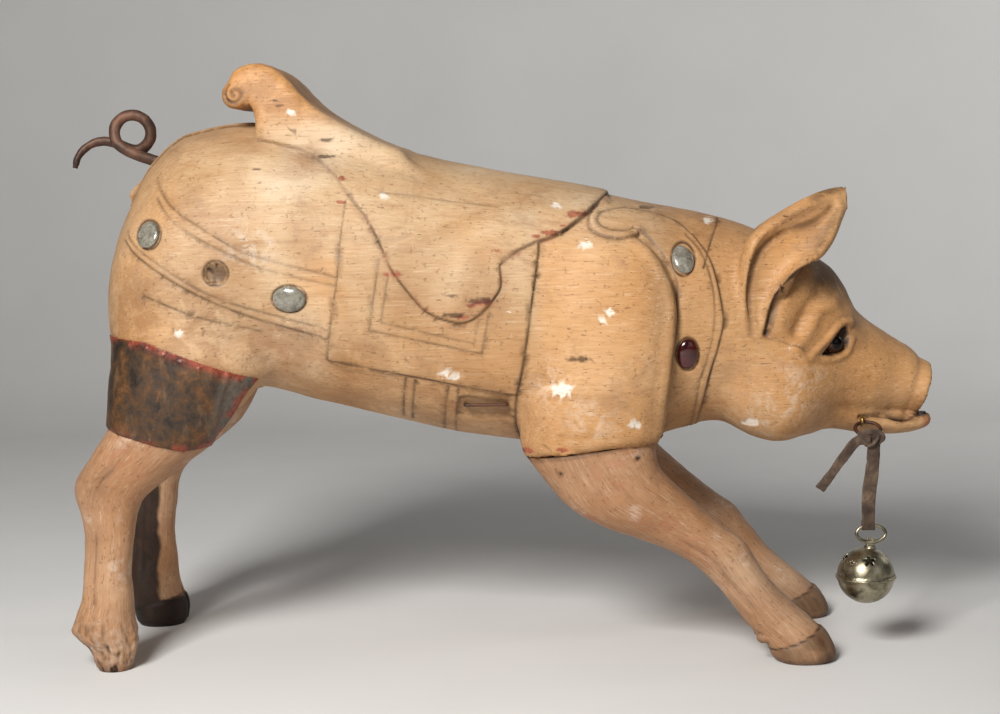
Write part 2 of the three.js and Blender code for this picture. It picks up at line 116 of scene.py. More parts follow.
LOWER_JAW = [
    [372, 280, 90, 34, 54, 0], [420, 257, 86, 19, 42, 0], [455, 251, 84, 14, 33, 0],
    [478, 251, 80, 11, 25, 0], [489, 253, 78, 6, 15, 0],
]

# Swellings carved on each side, given on the right: centre and half sizes
SHOULDER = ((112, -98, 347), (78, 54, 116))
HAUNCH = ((-336, -92, 412), (84, 60, 110))
CHEEK = ((310, -56, 302), (54, 50, 60))

# Carved lines as the side shows them, in x and z

CRUPPER_UPPER = [(-368, 548), (-360, 533), (-344, 515), (-319, 498), (-271, 469), (-237, 457), (-167, 438)]
CRUPPER_UPPER_INNER = [(-364, 526), (-348, 505), (-319, 484), (-262, 455), (-230, 444), (-167, 428)]
CRUPPER_LOWER_INNER = [(-401, 491), (-387, 475), (-338, 441), (-282, 412), (-180, 382)]
CRUPPER_LOWER = [(-402, 481), (-382, 462), (-329, 428), (-266, 398), (-181, 372)]
HAUNCH_CRACK = [(-378, 422), (-315, 397), (-255, 381)]
SADDLE_REAR = [(-256, 586), (-206, 571), (-177, 551), (-156, 525)]
SADDLE_SKIRT = [
    (-156, 525), (-135, 498), (-120, 470), (-109, 445), (-90, 419), (-73, 400), (-52, 390), (-32, 387),
    (-14, 396), (5, 418), (8, 431), (7, 446),
]
SADDLE_FRONT = [(7, 446), (24, 459), (42, 467), (71, 477), (94, 492), (113, 507), (127, 517)]
SEAT_CREASE = [(-120, 525), (-79, 518), (-36, 511), (7, 505)]
CLOTH_REAR = [(-158, 518), (-164, 467), (-168, 429), (-183, 348)]
CLOTH_BOTTOM = [(-183, 348), (-83, 327), (22, 305)]
CLOTH_FRONT = [(49, 467), (47, 448), (39, 395), (30, 340), (22, 305)]
BORDER_OUTER = [(-121, 456), (-134, 381), (-14, 353), (-5, 397)]
BORDER_INNER = [(-112, 438), (-121, 389), (-22, 364), (-16, 390)]
GIRTH_LINES = [
    [(-98, 326), (-107, 277)], [(-88, 323), (-97, 274)], [(-52, 316), (-63, 257)], [(-41, 313), (-50, 255)],
]
GIRTH_PANEL = [(-41, 304), (14, 300), (15, 276), (-46, 280)]
SHOULDER_REAR = [(22, 305), (19, 270), (26, 236)]
SHOULDER_CREST = [
    (116, 500), (160, 459), (181, 431), (189, 402), (189, 377), (183, 334), (175, 281), (169, 240),
]
COLLAR_FRONT = [
    (144, 503), (171, 498), (196, 489), (213, 477), (225, 463), (238, 438), (247, 391),
    (247, 374), (241, 349), (233, 322), (223, 273), (219, 245),
]
COLLAR_INNER = [
    (210, 472), (225, 454), (234, 428), (238, 401), (236, 366), (230, 341), (222, 314), (217, 278),
    (213, 250),
]
COLLAR_REAR = [
    (152, 481), (163, 476), (176, 462), (188, 445), (196, 428), (198, 406), (196, 376), (192, 351),
    (185, 315), (179, 277), (175, 245),
]
SCROLL_OUTER = [
    (108, 500), (104, 496), (103, 490), (105, 482), (113, 475), (126, 470), (139, 468), (152, 470),
    (158, 475),
]
SCROLL_INNER = [
    (144, 503), (123, 501), (115, 496), (113, 490), (118, 484), (129, 479), (142, 478), (152, 481),
]
STRAP_HALF_WIDTH = 26
NECK_CRACK = [(250, 489), (238, 466), (227, 437)]
MOUTH = [(406, 262), (435, 262), (455, 257), (477, 260), (496, 263)]
EYE_OPENING = [(358, 338), (369, 350), (381, 365), (388, 366), (391, 355), (386, 341), (370, 336)]
UPPER_LID = [(345, 338), (363, 353), (380, 370), (392, 371)]
LOWER_LID = [(352, 333), (370, 331), (388, 337), (395, 352)]
BROW_RIDGE = [(329, 348), (344, 366), (354, 384), (372, 393)]
BROW_VALLEY = [(327, 364), (341, 390), (355, 404)]
TEMPLE_BULGE = [(308, 372), (320, 404), (345, 425)]
CHEEK_LEDGE = [(262, 362), (293, 360), (321, 351), (338, 343)]
EAR_FRONT_GAP = [(295, 364), (302, 391), (311, 414), (330, 430), (346, 438)]
EAR_BACK_FOLD = [(279, 364), (276, 406), (280, 435), (291, 457), (316, 473), (350, 484), (368, 498)]
CANTLE_ROLL = (-283, 638)
CANTLE_ROLL_RADIUS = 16
SNOUT_ROOT = (422, 464)

# Places of the jewels on the side: x, z, half size across and up
BAND_FRONT = (-219, 416, 18, 14)
BAND_MIDDLE = (-297, 445, 13, 13)
BAND_REAR = (-371, 487, 13.5, 15)
COLLAR_UPPER = (205, 447, 12.5, 17)
COLLAR_LOWER = (208, 345, 12, 17)


# Numbers and curves

def smoothstep(low, high, value):
    t = np.clip((value - low) / (high - low), 0, 1)
    return t * t * (3 - 2 * t)


def hump(distance, width):
    """A soft hump that is 1 at distance 0."""
    return np.exp(-(distance / width) ** 2)


def smooth_min(a, b, reach):
    share = np.clip(0.5 + 0.5 * (b - a) / reach, 0, 1)
    return b + (a - b) * share - reach * share * (1 - share)


def table_value(x, xs, ys):
    """Smooth values between the entries of a table, which never overshoot them."""
    gap = np.diff(xs)
    slope = np.diff(ys) / gap
    both = slope[:-1] * slope[1:]
    inner = np.where(both > 0, 2 * both / np.where(both > 0, slope[:-1] + slope[1:], 1), 0)
    lean = np.concatenate([slope[:1], inner, slope[-1:]])
    k = np.clip(np.searchsorted(xs, x) - 1, 0, len(gap) - 1)
    t = np.clip((x - xs[k]) / gap[k], 0, 1)
    rise = ys[k + 1] - ys[k]
    bend = 3 * rise - gap[k] * (2 * lean[k] + lean[k + 1])
    ease = gap[k] * (lean[k] + lean[k + 1]) - 2 * rise
    return ys[k] + t * (gap[k] * lean[k] + t * (bend + t * ease))


def smooth_rows(rows, between):
    """Rows with more rows between them, on a smooth curve through all of them."""
    rows = np.array(rows, float)
    padded = np.vstack([2 * rows[0] - rows[1], rows, 2 * rows[-1] - rows[-2]])
    out = []
    for a, b, c, d in zip(padded, padded[1:], padded[2:], padded[3:]):
        for t in np.arange(between) / between:
            out.append(b + 0.5 * t * (c - a + t * (2 * a - 5 * b + 4 * c - d + t * (3 * (b - c) + d - a))))
    return np.array(out + [rows[-1]])


def even_route(points, count):
    """A smooth route through the points, as count points the same distance apart."""
    fine = smooth_rows(points, 24)
    run = np.concatenate([[0], np.cumsum(np.linalg.norm(np.diff(fine, axis=0), axis=1))])
    places = np.linspace(0, run[-1], count)
    return np.stack([np.interp(places, run, column) for column in fine.T], 1)


def lumps(points, size, seed):
    """Smooth random values between -1 and 1, in lumps of about the given size."""
    scaled = points / size + 17.31 * seed
    cell = np.floor(scaled).astype(np.int64)
    part = scaled - cell
    part = part * part * (3 - 2 * part)
    total = np.zeros(len(points))
    for corner in np.ndindex(2, 2, 2):
        at = cell + np.array(corner)
        mixed = (at[:, 0] * 73856093) ^ (at[:, 1] * 19349663) ^ (at[:, 2] * 83492791) ^ (seed * 97531)
        mixed = ((mixed ^ (mixed >> 13)) * 1274126177) & 0x7FFFFFFF
        value = ((mixed >> 7) & 0xFFFF) / 32767.5 - 1
        total += value * np.prod(np.where(corner, part, 1 - part), axis=1)
    return total


def line_distance(flat, line, reach):
    """Distance of points on the side view from a line there, at most reach."""
    line = np.array(line, float)
    near = np.all((flat > line.min(0) - reach) & (flat < line.max(0) + reach), axis=1)
    q = flat[near]
    best = np.full(len(q), float(reach))
    for a, b in zip(line, line[1:]):
        way = b - a
        t = np.clip((q - a) @ way / (way @ way), 0, 1)
        best = np.minimum(best, np.linalg.norm(q - a - t[:, None] * way, axis=1))
    out = np.full(len(flat), float(reach))
    out[near] = best
    return out


def within(flat, outline):
    """True for points on the side view inside a closed outline."""
    x, z = flat.T
    inside = np.zeros(len(flat), bool)
    for (ax, az), (bx, bz) in zip(outline, outline[1:] + outline[:1]):
        if az == bz:
            continue
        crosses = (az > z) != (bz > z)
        inside ^= crosses & (x < ax + (z - az) * (bx - ax) / (bz - az))
    return inside


def step_in(flat, outline, reach=6):
    """Distance from an outline, negative inside it."""
    closed = list(outline) + [outline[0]]
    distance = line_distance(flat, closed, reach)
    return np.where(within(flat, list(outline)), -distance, distance)


# Forms as distances, negative inside

def oval(u, v, deep, wide, power):
    u = np.abs(u) / deep
    v = np.abs(v) / wide
    r = np.maximum((u ** power + v ** power) ** (1 / power), 1e-3)
    steep = r ** (1 - power) * np.hypot(u ** (power - 1) / deep, v ** (power - 1) / wide)
    return (r - 1) / np.maximum(steep, 1e-4)


def trunk(p):
    x, y, z = p.T
    top, bottom, half = (table_value(x, TRUNK[:, 0], TRUNK[:, k]) for k in (1, 2, 3))
    side = oval(y, z - (top + bottom) / 2, half, (top - bottom) / 2, 2.25)
    return np.maximum(side, np.maximum(TRUNK[0, 0] - x, x - 432))


def limb(rows, y, power=2.2):
    """The distance from a limb on the right side, or on the middle plane where y is 0."""
    rows = smooth_rows(rows, 4)
    size = rows[:, 3:5].max()
    low = np.array([rows[:, 0].min() - size, -y - rows[:, 4].max(), rows[:, 1].min() - size]) - 30
    high = np.array([rows[:, 0].max() + size, -y + rows[:, 4].max(), rows[:, 1].max() + size]) + 30

    def distance(p):
        out = np.full(len(p), FAR)
        near = np.all((p > low - 30) & (p < high + 30), axis=1)
        x, y_at, z = p[near].T
        best = np.full(len(x), FAR)
        for a, b in zip(rows, rows[1:]):
            ahead = [
                (x - r[0]) * math.sin(math.radians(r[2])) - (z - r[1]) * math.cos(math.radians(r[2]))
                for r in (a, b)
            ]
            run = ahead[0] - ahead[1]
            t = np.clip(ahead[0] / np.where(np.abs(run) < 1e-6, 1e-6, run), 0, 1)
            cx, cz, lean, deep, wide, aside = (a[k] + (b[k] - a[k]) * t for k in range(6))
            lean = np.radians(lean)
            along = (x - cx) * np.cos(lean) + (z - cz) * np.sin(lean)
            ring = oval(along, y_at + y + aside, deep, wide, power)
            past = np.maximum(np.maximum(-ahead[0], ahead[1]), 0)
            best = np.minimum(best, np.where(past > 0, np.hypot(np.maximum(ring, 0), past), ring))
        out[near] = best
        return out

    return distance


def swelling(form):
    centre, half = (np.array(v, float) for v in form)

    def distance(p):
        scaled = (p - centre) / half
        k = np.linalg.norm(scaled, axis=1)
        return k * (k - 1) / np.maximum(np.linalg.norm(scaled / half, axis=1), 1e-6)

    return distance


def quadratic(a, control, b, count=10):
    t = np.linspace(0, 1, count)[:, None]
    a, control, b = (np.array(v, float) for v in (a, control, b))
    return [tuple(v) for v in (1 - t) ** 2 * a + 2 * t * (1 - t) * control + t * t * b]


def cantle_outline():
    x, z = CANTLE_ROLL
    turns = np.linspace(0.72 * math.pi, 1.8 * math.pi, 18)
    roll = [(x + CANTLE_ROLL_RADIUS * math.cos(a), z + CANTLE_ROLL_RADIUS * math.sin(a)) for a in turns]
    return (
        [(-80, 540), (-104, 568)] + quadratic((-104, 568), (-172, 592), (-214, 640))[1:]
        + quadratic((-214, 640), (-238, 671), (-261, 672))[1:]
        + quadratic((-261, 672), (-278, 671), (-288, 662))[1:]
        + roll + quadratic(roll[-1], (-257, 615), (-256, 580))[1:] + [(-240, 540)]
    )


CANTLE_OUTLINE = cantle_outline()


def cantle(p):
    """The saddle's raised back: its outline drawn out across the pig, with rounded edges."""
    out = np.full(len(p), FAR)
    near = (p[:, 0] > -350) & (p[:, 0] < -30) & (p[:, 2] > 500)
    q = p[near]
    rounding = 9
    across = np.abs(q[:, 1]) - CANTLE_HALF_WIDTH + 16 * smoothstep(590, 680, q[:, 2]) + rounding
    flat = step_in(q[:, [0, 2]], CANTLE_OUTLINE, FAR) + rounding
    corner = np.hypot(np.maximum(across, 0), np.maximum(flat, 0))
    out[near] = np.minimum(np.maximum(across, flat), 0) + corner - rounding
    return out


ear_leaf = limb(EAR, EAR_Y)
ear_hollow = limb(EAR_HOLLOW, EAR_Y)
snout = limb(SNOUT, 0, 2)
lower_jaw = limb(LOWER_JAW, 0, 2)
fore_root = limb(FORE_ROOT, FORE_LEG_Y)
hind_root = limb(HIND_ROOT, HIND_LEG_Y)
shoulder = swelling(SHOULDER)
haunch = swelling(HAUNCH)
cheek = swelling(CHEEK)


def ear(p):
    return -smooth_min(-ear_leaf(p), ear_hollow(p), 5)


def under_fore_joint(p):
    rise = FORE_JOINT_Z + math.tan(FORE_JOINT_SLOPE) * (p[:, 0] - FORE_JOINT_X)
    return (rise - p[:, 2]) * math.cos(FORE_JOINT_SLOPE)


def thigh(p):
    """The rump with the upper part of the right hind leg, which the sheet metal is bent round."""
    rump = smooth_min(trunk(p), haunch(p), 30)
    return smooth_min(rump, hind_root(p), 22)


def pig(p):
    """The whole carved body, with the roots of the legs above their joints."""
    one_side = p * [1, 0, 1] - np.abs(p) * [0, 1, 0]
    other_ear = p * [1, -1, 1] - LEFT_EAR_MOVE
    form = smooth_min(trunk(p), snout(p), 14)
    form = smooth_min(form, lower_jaw(p), 7)
    form = smooth_min(form, cheek(one_side), 26)
    joint = under_fore_joint(p)
    form = smooth_min(form, np.maximum(shoulder(one_side), joint), 22)
    form = smooth_min(form, np.maximum(fore_root(one_side), joint), 12)
    hind_joint = HIND_JOINT_Z - p[:, 2]
    form = smooth_min(form, np.maximum(haunch(one_side), hind_joint), 30)
    form = smooth_min(form, np.maximum(hind_root(one_side), hind_joint), 22)
    form = smooth_min(form, cantle(p), 9)
    return smooth_min(form, np.minimum(ear(p), ear(other_ear)), 9)


# Meshes from distances

def in_blocks(field, points, block=150000):
    return np.concatenate([field(points[k:k + block]) for k in range(0, len(points), block)])


def surface_net(field, low, high, step):
    """A closed mesh of triangles where the field is 0: one point in each cell that the surface crosses."""
    axes = [np.arange(a, b + step, step) for a, b in zip(low, high)]
    grid = np.stack(np.meshgrid(*axes, indexing="ij"), -1)
    value = in_blocks(field, grid.reshape(-1, 3)).reshape(grid.shape[:3])
    inside = value < 0
    cells = tuple(n - 1 for n in value.shape)
    total = np.zeros(cells + (3,))
    count = np.zeros(cells)
    crossings = []
    for axis in range(3):
        first = [slice(None)] * 3
        second = [slice(None)] * 3
        first[axis] = slice(None, -1)
        second[axis] = slice(1, None)
        a, b = value[tuple(first)], value[tuple(second)]
        cross = inside[tuple(first)] != inside[tuple(second)]
        t = np.where(cross, a / np.where(cross, a - b, 1), 0)
        place = grid[tuple(first)] + t[..., None] * step * np.eye(3)[axis]
        place *= cross[..., None]
        others = [k for k in range(3) if k != axis]
        for near in np.ndindex(2, 2):
            part = [slice(None)] * 3
            for k, offset in zip(others, near):
                part[k] = slice(offset, value.shape[k] - 1 + offset)
            total += place[tuple(part)]
            count += cross[tuple(part)]
        crossings.append((axis, others, cross))
    used = count > 0
    number = np.full(cells, -1)
    number[used] = np.arange(used.sum())
    points = total[used] / count[used][:, None]
    quads = []
    for axis, others, cross in crossings:
        at = np.argwhere(cross)
        ok = np.all((at[:, others] > 0) & (at[:, others] < np.array(cells)[others]), axis=1)
        at = at[ok]
        corners = []
        for offset in ((1, 1), (0, 1), (0, 0), (1, 0)):
            cell = at.copy()
            cell[:, others] -= offset
            corners.append(number[tuple(cell.T)])
        quad = np.stack(corners, 1)
        outward = inside[tuple(at.T)] == (axis != 1)
        quads.append(np.where(outward[:, None], quad, quad[:, ::-1]))
    return points, split_quads(points, np.concatenate(quads))


def split_quads(points, quads):
    a, b, c, d = (points[quads[:, k]] for k in range(4))
    straight = np.linalg.norm(a - c, axis=1) < np.linalg.norm(b - d, axis=1)
    one = np.where(straight[:, None], quads[:, [0, 1, 2]], quads[:, [0, 1, 3]])
    two = np.where(straight[:, None], quads[:, [0, 2, 3]], quads[:, [1, 2, 3]])
    return np.concatenate([one, two])


def settle(field, points, rounds=2):
    """Moves points onto the surface along the field's slope."""
    probe = 0.4
    for _ in range(rounds):
        here = in_blocks(field, points)
        slope = np.stack([in_blocks(field, points + probe * e) - here for e in np.eye(3)], 1) / probe
        move = np.clip(here / np.maximum((slope ** 2).sum(1), 0.3), -3, 3)
        points = points - slope * move[:, None]
    return points


def edges_of(triangles):
    """Each edge once, and for each triangle the numbers of its three edges."""
    pairs = np.sort(triangles[:, [[0, 1], [1, 2], [2, 0]]].reshape(-1, 2), axis=1)
    key = pairs[:, 0].astype(np.int64) * (triangles.max() + 1) + pairs[:, 1]
    _, first, back = np.unique(key, return_index=True, return_inverse=True)
    return pairs[first], back.reshape(-1, 3)


def refine(points, triangles, wanted, onto):
    """Halves every edge that is longer than wanted, and keeps the mesh closed."""
    ends, sides = edges_of(triangles)
    middle = points[ends].mean(1)
    length = np.linalg.norm(points[ends[:, 0]] - points[ends[:, 1]], axis=1)
    split = length > wanted(middle)
    while True:
        marked = split[sides]
        two = marked.sum(1) == 2
        if not two.any():
            break
        split[sides[two]] = True
    number = len(points) + np.cumsum(split) - 1
    points = np.vstack([points, onto(middle[split])])
    new = number[sides]
    kept = triangles[~marked.any(1)]
    parts = [kept]
    whole = marked.all(1)
    (a, b, c), (ab, bc, ca) = triangles[whole].T, new[whole].T
    parts += [np.stack(t, 1) for t in ((a, ab, ca), (b, bc, ab), (c, ca, bc), (ab, bc, ca))]
    for k in range(3):
        one = (marked.sum(1) == 1) & marked[:, k]
        a, b, c = (triangles[one][:, (k + j) % 3] for j in range(3))
        m = new[one][:, k]
        parts += [np.stack((a, m, c), 1), np.stack((m, b, c), 1)]
    return points, np.concatenate(parts)


def neighbour_mean(points, triangles):
    ends, _ = edges_of(triangles)
    both = np.concatenate([ends, ends[:, ::-1]])
    count = np.bincount(both[:, 0], minlength=len(points))[:, None]
    total = np.stack([np.bincount(both[:, 0], points[both[:, 1], k], len(points)) for k in range(3)], 1)
    return total / np.maximum(count, 1)


def point_normals(points, triangles):
    a, b, c = (points[triangles[:, k]] for k in range(3))
    face = np.cross(b - a, c - a)
    total = np.zeros_like(points)
    for k in range(3):
        for axis in range(3):
            total[:, axis] += np.bincount(triangles[:, k], face[:, axis], len(points))
    return total / np.maximum(np.linalg.norm(total, axis=1), 1e-9)[:, None]


def hollowness(points, triangles, normals, rounds):
    """How far each point lies below its surroundings, in millimetres."""
    smooth = points
    for _ in range(rounds):
        smooth = neighbour_mean(smooth, triangles)
    return ((smooth - points) * normals).sum(1)


def make_object(name, points, faces, material, replaced=(), attributes=None):
    """A smooth-shaded mesh object that rides on the pig."""
    faces = np.asarray(faces)
    sides = faces.shape[1]
    mesh = bpy.data.meshes.new(name)
    mesh.vertices.add(len(points))
    mesh.vertices.foreach_set("co", (np.asarray(points) * MM).astype(np.float32).ravel())
    mesh.loops.add(faces.size)
    mesh.loops.foreach_set("vertex_index", faces.ravel().astype(np.int32))
    mesh.polygons.add(len(faces))
    mesh.polygons.foreach_set("loop_start", np.arange(0, faces.size, sides, dtype=np.int32))
    mesh.polygons.foreach_set("use_smooth", np.ones(len(faces), bool))
    mesh.update(calc_edges=True)
    for key, values in (attributes or {}).items():
        if values.ndim == 2:
            made = mesh.attributes.new(key, "FLOAT_VECTOR", "POINT")
            made.data.foreach_set("vector", values.astype(np.float32).ravel())
        else:
            made = mesh.attributes.new(key, "FLOAT", "POINT")
            made.data.foreach_set("value", values.astype(np.float32))
    mesh.materials.append(material)
    obj = bpy.data.objects.new(name, mesh)
    bpy.context.scene.collection.objects.link(obj)
    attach(obj, "root")
    if replaced:
        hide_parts(*replaced)
    return obj


def tube_mesh(rings):
    """Points and triangles of a closed skin over rings with as many points each."""
    count, around = len(rings), len(rings[0])
    points = np.concatenate([np.concatenate(rings), [np.mean(rings[0], 0), np.mean(rings[-1], 0)]])
    k = np.arange(around)
    after = (k + 1) % around
    faces = []
    for i in range(count - 1):
        low, high = i * around, (i + 1) * around
        faces.append(np.stack([low + k, low + after, high + after, high + k], 1))
    quads = np.concatenate(faces)
    last = (count - 1) * around
    start = np.stack([after, k, np.full(around, count * around)], 1)
    end = np.stack([last + k, last + after, np.full(around, count * around + 1)], 1)
    return points, np.concatenate([split_quads(points, quads), start, end])


def sweep(route, section, up=(0, -1, 0), closed=False):
    """Rings along a route: section gives, for a place between 0 and 1, points as steps across and up."""
    route = np.asarray(route, float)
    ahead = np.gradient(route, axis=0)
    if closed:
        ahead = np.roll(route, -1, 0) - np.roll(route, 1, 0)
    ahead /= np.linalg.norm(ahead, axis=1)[:, None]
    rings = []
    lift = np.array(up, float)
    for k, (centre, way) in enumerate(zip(route, ahead)):
        lift = lift - way * (lift @ way)
        lift /= np.linalg.norm(lift)
        across = np.cross(way, lift)
        steps = section(k / (len(route) - 1))
        rings.append(centre + steps[:, :1] * across + steps[:, 1:] * lift)
    return rings


def circle(radius, around=16, flat=1.0):
    turn = 2 * math.pi * np.arange(around) / around
    return np.stack([radius * np.cos(turn), flat * radius * np.sin(turn)], 1)


def ring_mesh(rings):
    """Points and triangles of a skin over rings that close on themselves, as in a torus."""
    count, around = len(rings), len(rings[0])
    points = np.concatenate(rings)
    i, k = np.meshgrid(np.arange(count), np.arange(around), indexing="ij")
    ahead, after = (i + 1) % count, (k + 1) % around
    quads = np.stack([i * around + k, i * around + after, ahead * around + after, ahead * around + k], -1)
    return points, split_quads(points, quads.reshape(-1, 4))


# Materials

def colour(code):
    """A shader colour from the eight-bit code that a screen shows."""
    parts = [int(code[k:k + 2], 16) / 255 for k in (0, 2, 4)]
    return tuple(v / 12.92 if v <= 0.04045 else ((v + 0.055) / 1.055) ** 2.4 for v in parts) + (1.0,)


class Finish:
    """A node material, with short calls for the nodes that the finishes here share."""

    def __init__(self, name, **fixed):
        self.material = bpy.data.materials.new(name)
        self.material.use_nodes = True
        self.tree = self.material.node_tree
        self.shader = self.tree.nodes["Principled BSDF"]
        for socket, value in fixed.items():
            self.shader.inputs[socket.replace("_", " ")].default_value = value

    def put(self, socket, value):
        if isinstance(value, bpy.types.NodeSocket):
            self.tree.links.new(value, socket)
        else:
            socket.default_value = value

    def node(self, kind, settings=None, **inputs):
        made = self.tree.nodes.new("ShaderNode" + kind)
        for key, value in (settings or {}).items():
            setattr(made, key, value)
        for key, value in inputs.items():
            self.put(made.inputs[key], value)
        return made

    def place(self):
        return self.node("TexCoord").outputs["Object"]

    def value(self, name):
        return self.node("Attribute", {"attribute_name": name}).outputs["Fac"]

    def vector(self, name):
        return self.node("Attribute", {"attribute_name": name}).outputs["Vector"]

    def stretched(self, vector, scale):
        return self.node("Mapping", Vector=vector, Scale=scale).outputs["Vector"]

    def noise(self, vector, scale, detail=4.0, rough=0.55, twist=0.0):
        made = self.node(
            "TexNoise", Vector=vector, Scale=scale, Detail=detail, Roughness=rough, Distortion=twist)
        return made.outputs["Fac"]

    def ramp(self, factor, stops):
        made = self.node("ValToRGB", Fac=factor)
        steps = made.color_ramp.elements
        while len(steps) < len(stops):
            steps.new(0.5)
        for step, (at, code) in zip(steps, stops):
            step.position = at
            step.color = colour(code) if isinstance(code, str) else (code, code, code, 1.0)
        return made.outputs["Color"]

    def math(self, kind, a, b=0.0, clamp=False):
        made = self.node("Math", {"operation": kind, "use_clamp": clamp})
        self.put(made.inputs[0], a)
        self.put(made.inputs[1], b)
        return made.outputs["Value"]

    def times(self, a, b):
        return self.math("MULTIPLY", a, b)

    def plus(self, a, b, clamp=False):
        return self.math("ADD", a, b, clamp)

    def between(self, value, low, high):
        made = self.node("MapRange", {"interpolation_type": "SMOOTHSTEP"}, Value=value)
        made.inputs["From Min"].default_value = low
        made.inputs["From Max"].default_value = high
        return made.outputs["Result"]

    def mix(self, factor, a, b, kind="MIX"):
        made = self.node("Mix", {"data_type": "RGBA", "blend_type": kind})
        for socket, value in zip((made.inputs[0], made.inputs[6], made.inputs[7]), (factor, a, b)):
            self.put(socket, colour(value) if isinstance(value, str) else value)
        return made.outputs[2]

    def finish(self, base, rough, bumps=()):
        self.put(self.shader.inputs["Base Color"], base)
        self.put(self.shader.inputs["Roughness"], rough)
        normal = None
        for height, strength, depth in bumps:
            made = self.node("Bump", Height=height, Strength=strength, Distance=depth)
            if normal is not None:
                self.put(made.inputs["Normal"], normal)
            normal = made.outputs["Normal"]
        if normal is not None:
            self.put(self.shader.inputs["Normal"], normal)
        return self.material


def wood(name, palette, grain_code, warm_code, wear):
    """Old wood stripped of paint: streaked grain, patches, pits, grime and painted shade, and remnants of
    colour.
    """
    f = Finish(name, Specular_IOR_Level=0.28)
    along = f.vector("grain")
    patches = f.noise(along, 7.0, 3.0, 0.5, 0.4)
    base = f.ramp(patches, list(zip((0.28, 0.45, 0.58, 0.74), palette)))
    warm = f.times(f.between(f.noise(along, 4.3, 4.0, 0.6, 0.8), 0.5, 0.7), 0.35)
    warm = f.plus(warm, f.times(f.value("warm"), 0.62), True)
    base = f.mix(warm, base, warm_code)
    streaks = f.noise(f.stretched(along, (5.0, 70.0, 70.0)), 1.0, 5.0, 0.62, 0.3)
    base = f.mix(f.times(f.between(streaks, 0.5, 0.78), 0.45), base, grain_code)
    fibre = f.noise(f.stretched(along, (26.0, 480.0, 480.0)), 1.0, 4.0, 0.65)
    base = f.mix(f.times(f.between(fibre, 0.5, 0.78), 0.5), base, grain_code)
    base = f.mix(f.times(f.between(fibre, 0.48, 0.25), 0.3), base, "e3d0b2")
    # Stains, plus painted shade on surfaces facing down and low on the body.
    stain_and_shade = f.times(f.value("stain_and_shade"), f.between(f.noise(along, 34.0, 6.0, 0.65, 0.5), 0.3, 0.62))
    base = f.mix(f.times(stain_and_shade, 0.8), base, "80542f")
    scuff = f.between(f.noise(along, 26.0, 7.0, 0.72, 0.6), 0.6, 0.72)
    base = f.mix(f.times(scuff, 0.38), base, "97693e")
    pale = f.noise(along, 62.0, 6.0, 0.72, 0.5)
    chalk = f.plus(f.between(pale, 0.68, 0.73), f.times(f.value("pale"), f.between(pale, 0.46, 0.6)))
    chalk = f.times(f.plus(chalk, f.value("chip"), True), 0.72)
    base = f.mix(chalk, base, "efe8dc")
    grime = f.between(f.noise(along, 15.0, 7.0, 0.7, 0.9), 0.52, 0.7)
    base = f.mix(f.times(grime, 0.42), base, "8a6a50")
    dashes = f.between(f.noise(f.stretched(along, (110.0, 520.0, 520.0)), 1.0, 2.0, 0.5), 0.64, 0.72)
    base = f.mix(f.times(dashes, 0.55), base, "5d3b22")
    pits = f.between(f.noise(along, 190.0, 3.0, 0.6), 0.61, 0.7)
    base = f.mix(f.times(pits, 0.36), base, "50321d")
    flakes = f.noise(along, 70.0, 5.0, 0.7, 0.3)
    red = f.times(f.value("red"), f.between(flakes, 0.46, 0.56))
    red = f.math("MAXIMUM", red, f.value("red_mark"))
    base = f.mix(f.times(red, 0.8), base, f.ramp(flakes, [(0.4, "6f2a1e"), (0.62, "a8583f")]))
    # Grime and painted shade in grooves, hollows and recesses darken the wood towards near black.
    dark = f.math("MAXIMUM", f.value("dirt_and_shade"), f.times(f.value("dark_mark"), 0.75))
    dirt_and_shade = f.times(dark, f.between(f.noise(along, 90.0, 4.0, 0.6), 0.2, 0.5))
    base = f.mix(dirt_and_shade, base, "2f1c10")
    hoof = f.ramp(streaks, [(0.3, "382a1e"), (0.52, "634c38"), (0.72, "8c7359")])
    base = f.mix(f.value("hoof"), base, hoof)
    # Old dark paint on the far hind hoof, and painted shade on the inner side of that leg.
    base = f.mix(f.value("dark_paint_and_shade"), base, f.ramp(flakes, [(0.35, "120a07"), (0.65, "2b1b13")]))
    rough = f.plus(f.times(patches, 0.22), wear)
    bumps = [(streaks, 0.25, 0.0008), (fibre, 0.4, 0.0005), (chalk, 0.35, 0.0006), (pits, 0.4, -0.0006)]
    return f.finish(base, rough, bumps)


def rusty_iron(name, dark, rust, metal=0.35):
    f = Finish(name, Metallic=metal, Specular_IOR_Level=0.4)
    at = f.place()
    coarse = f.noise(at, 38.0, 6.0, 0.65, 0.5)
    fine = f.noise(at, 240.0, 5.0, 0.65)
    base = f.ramp(coarse, [(0.3, dark), (0.5, "4a352a"), (0.66, rust)])
    base = f.mix(f.between(fine, 0.55, 0.75), base, "6d4a35")
    rough = f.plus(f.times(coarse, 0.5), 0.28)
    return f.finish(base, rough, [(fine, 0.5, 0.0006), (coarse, 0.4, 0.0012)])


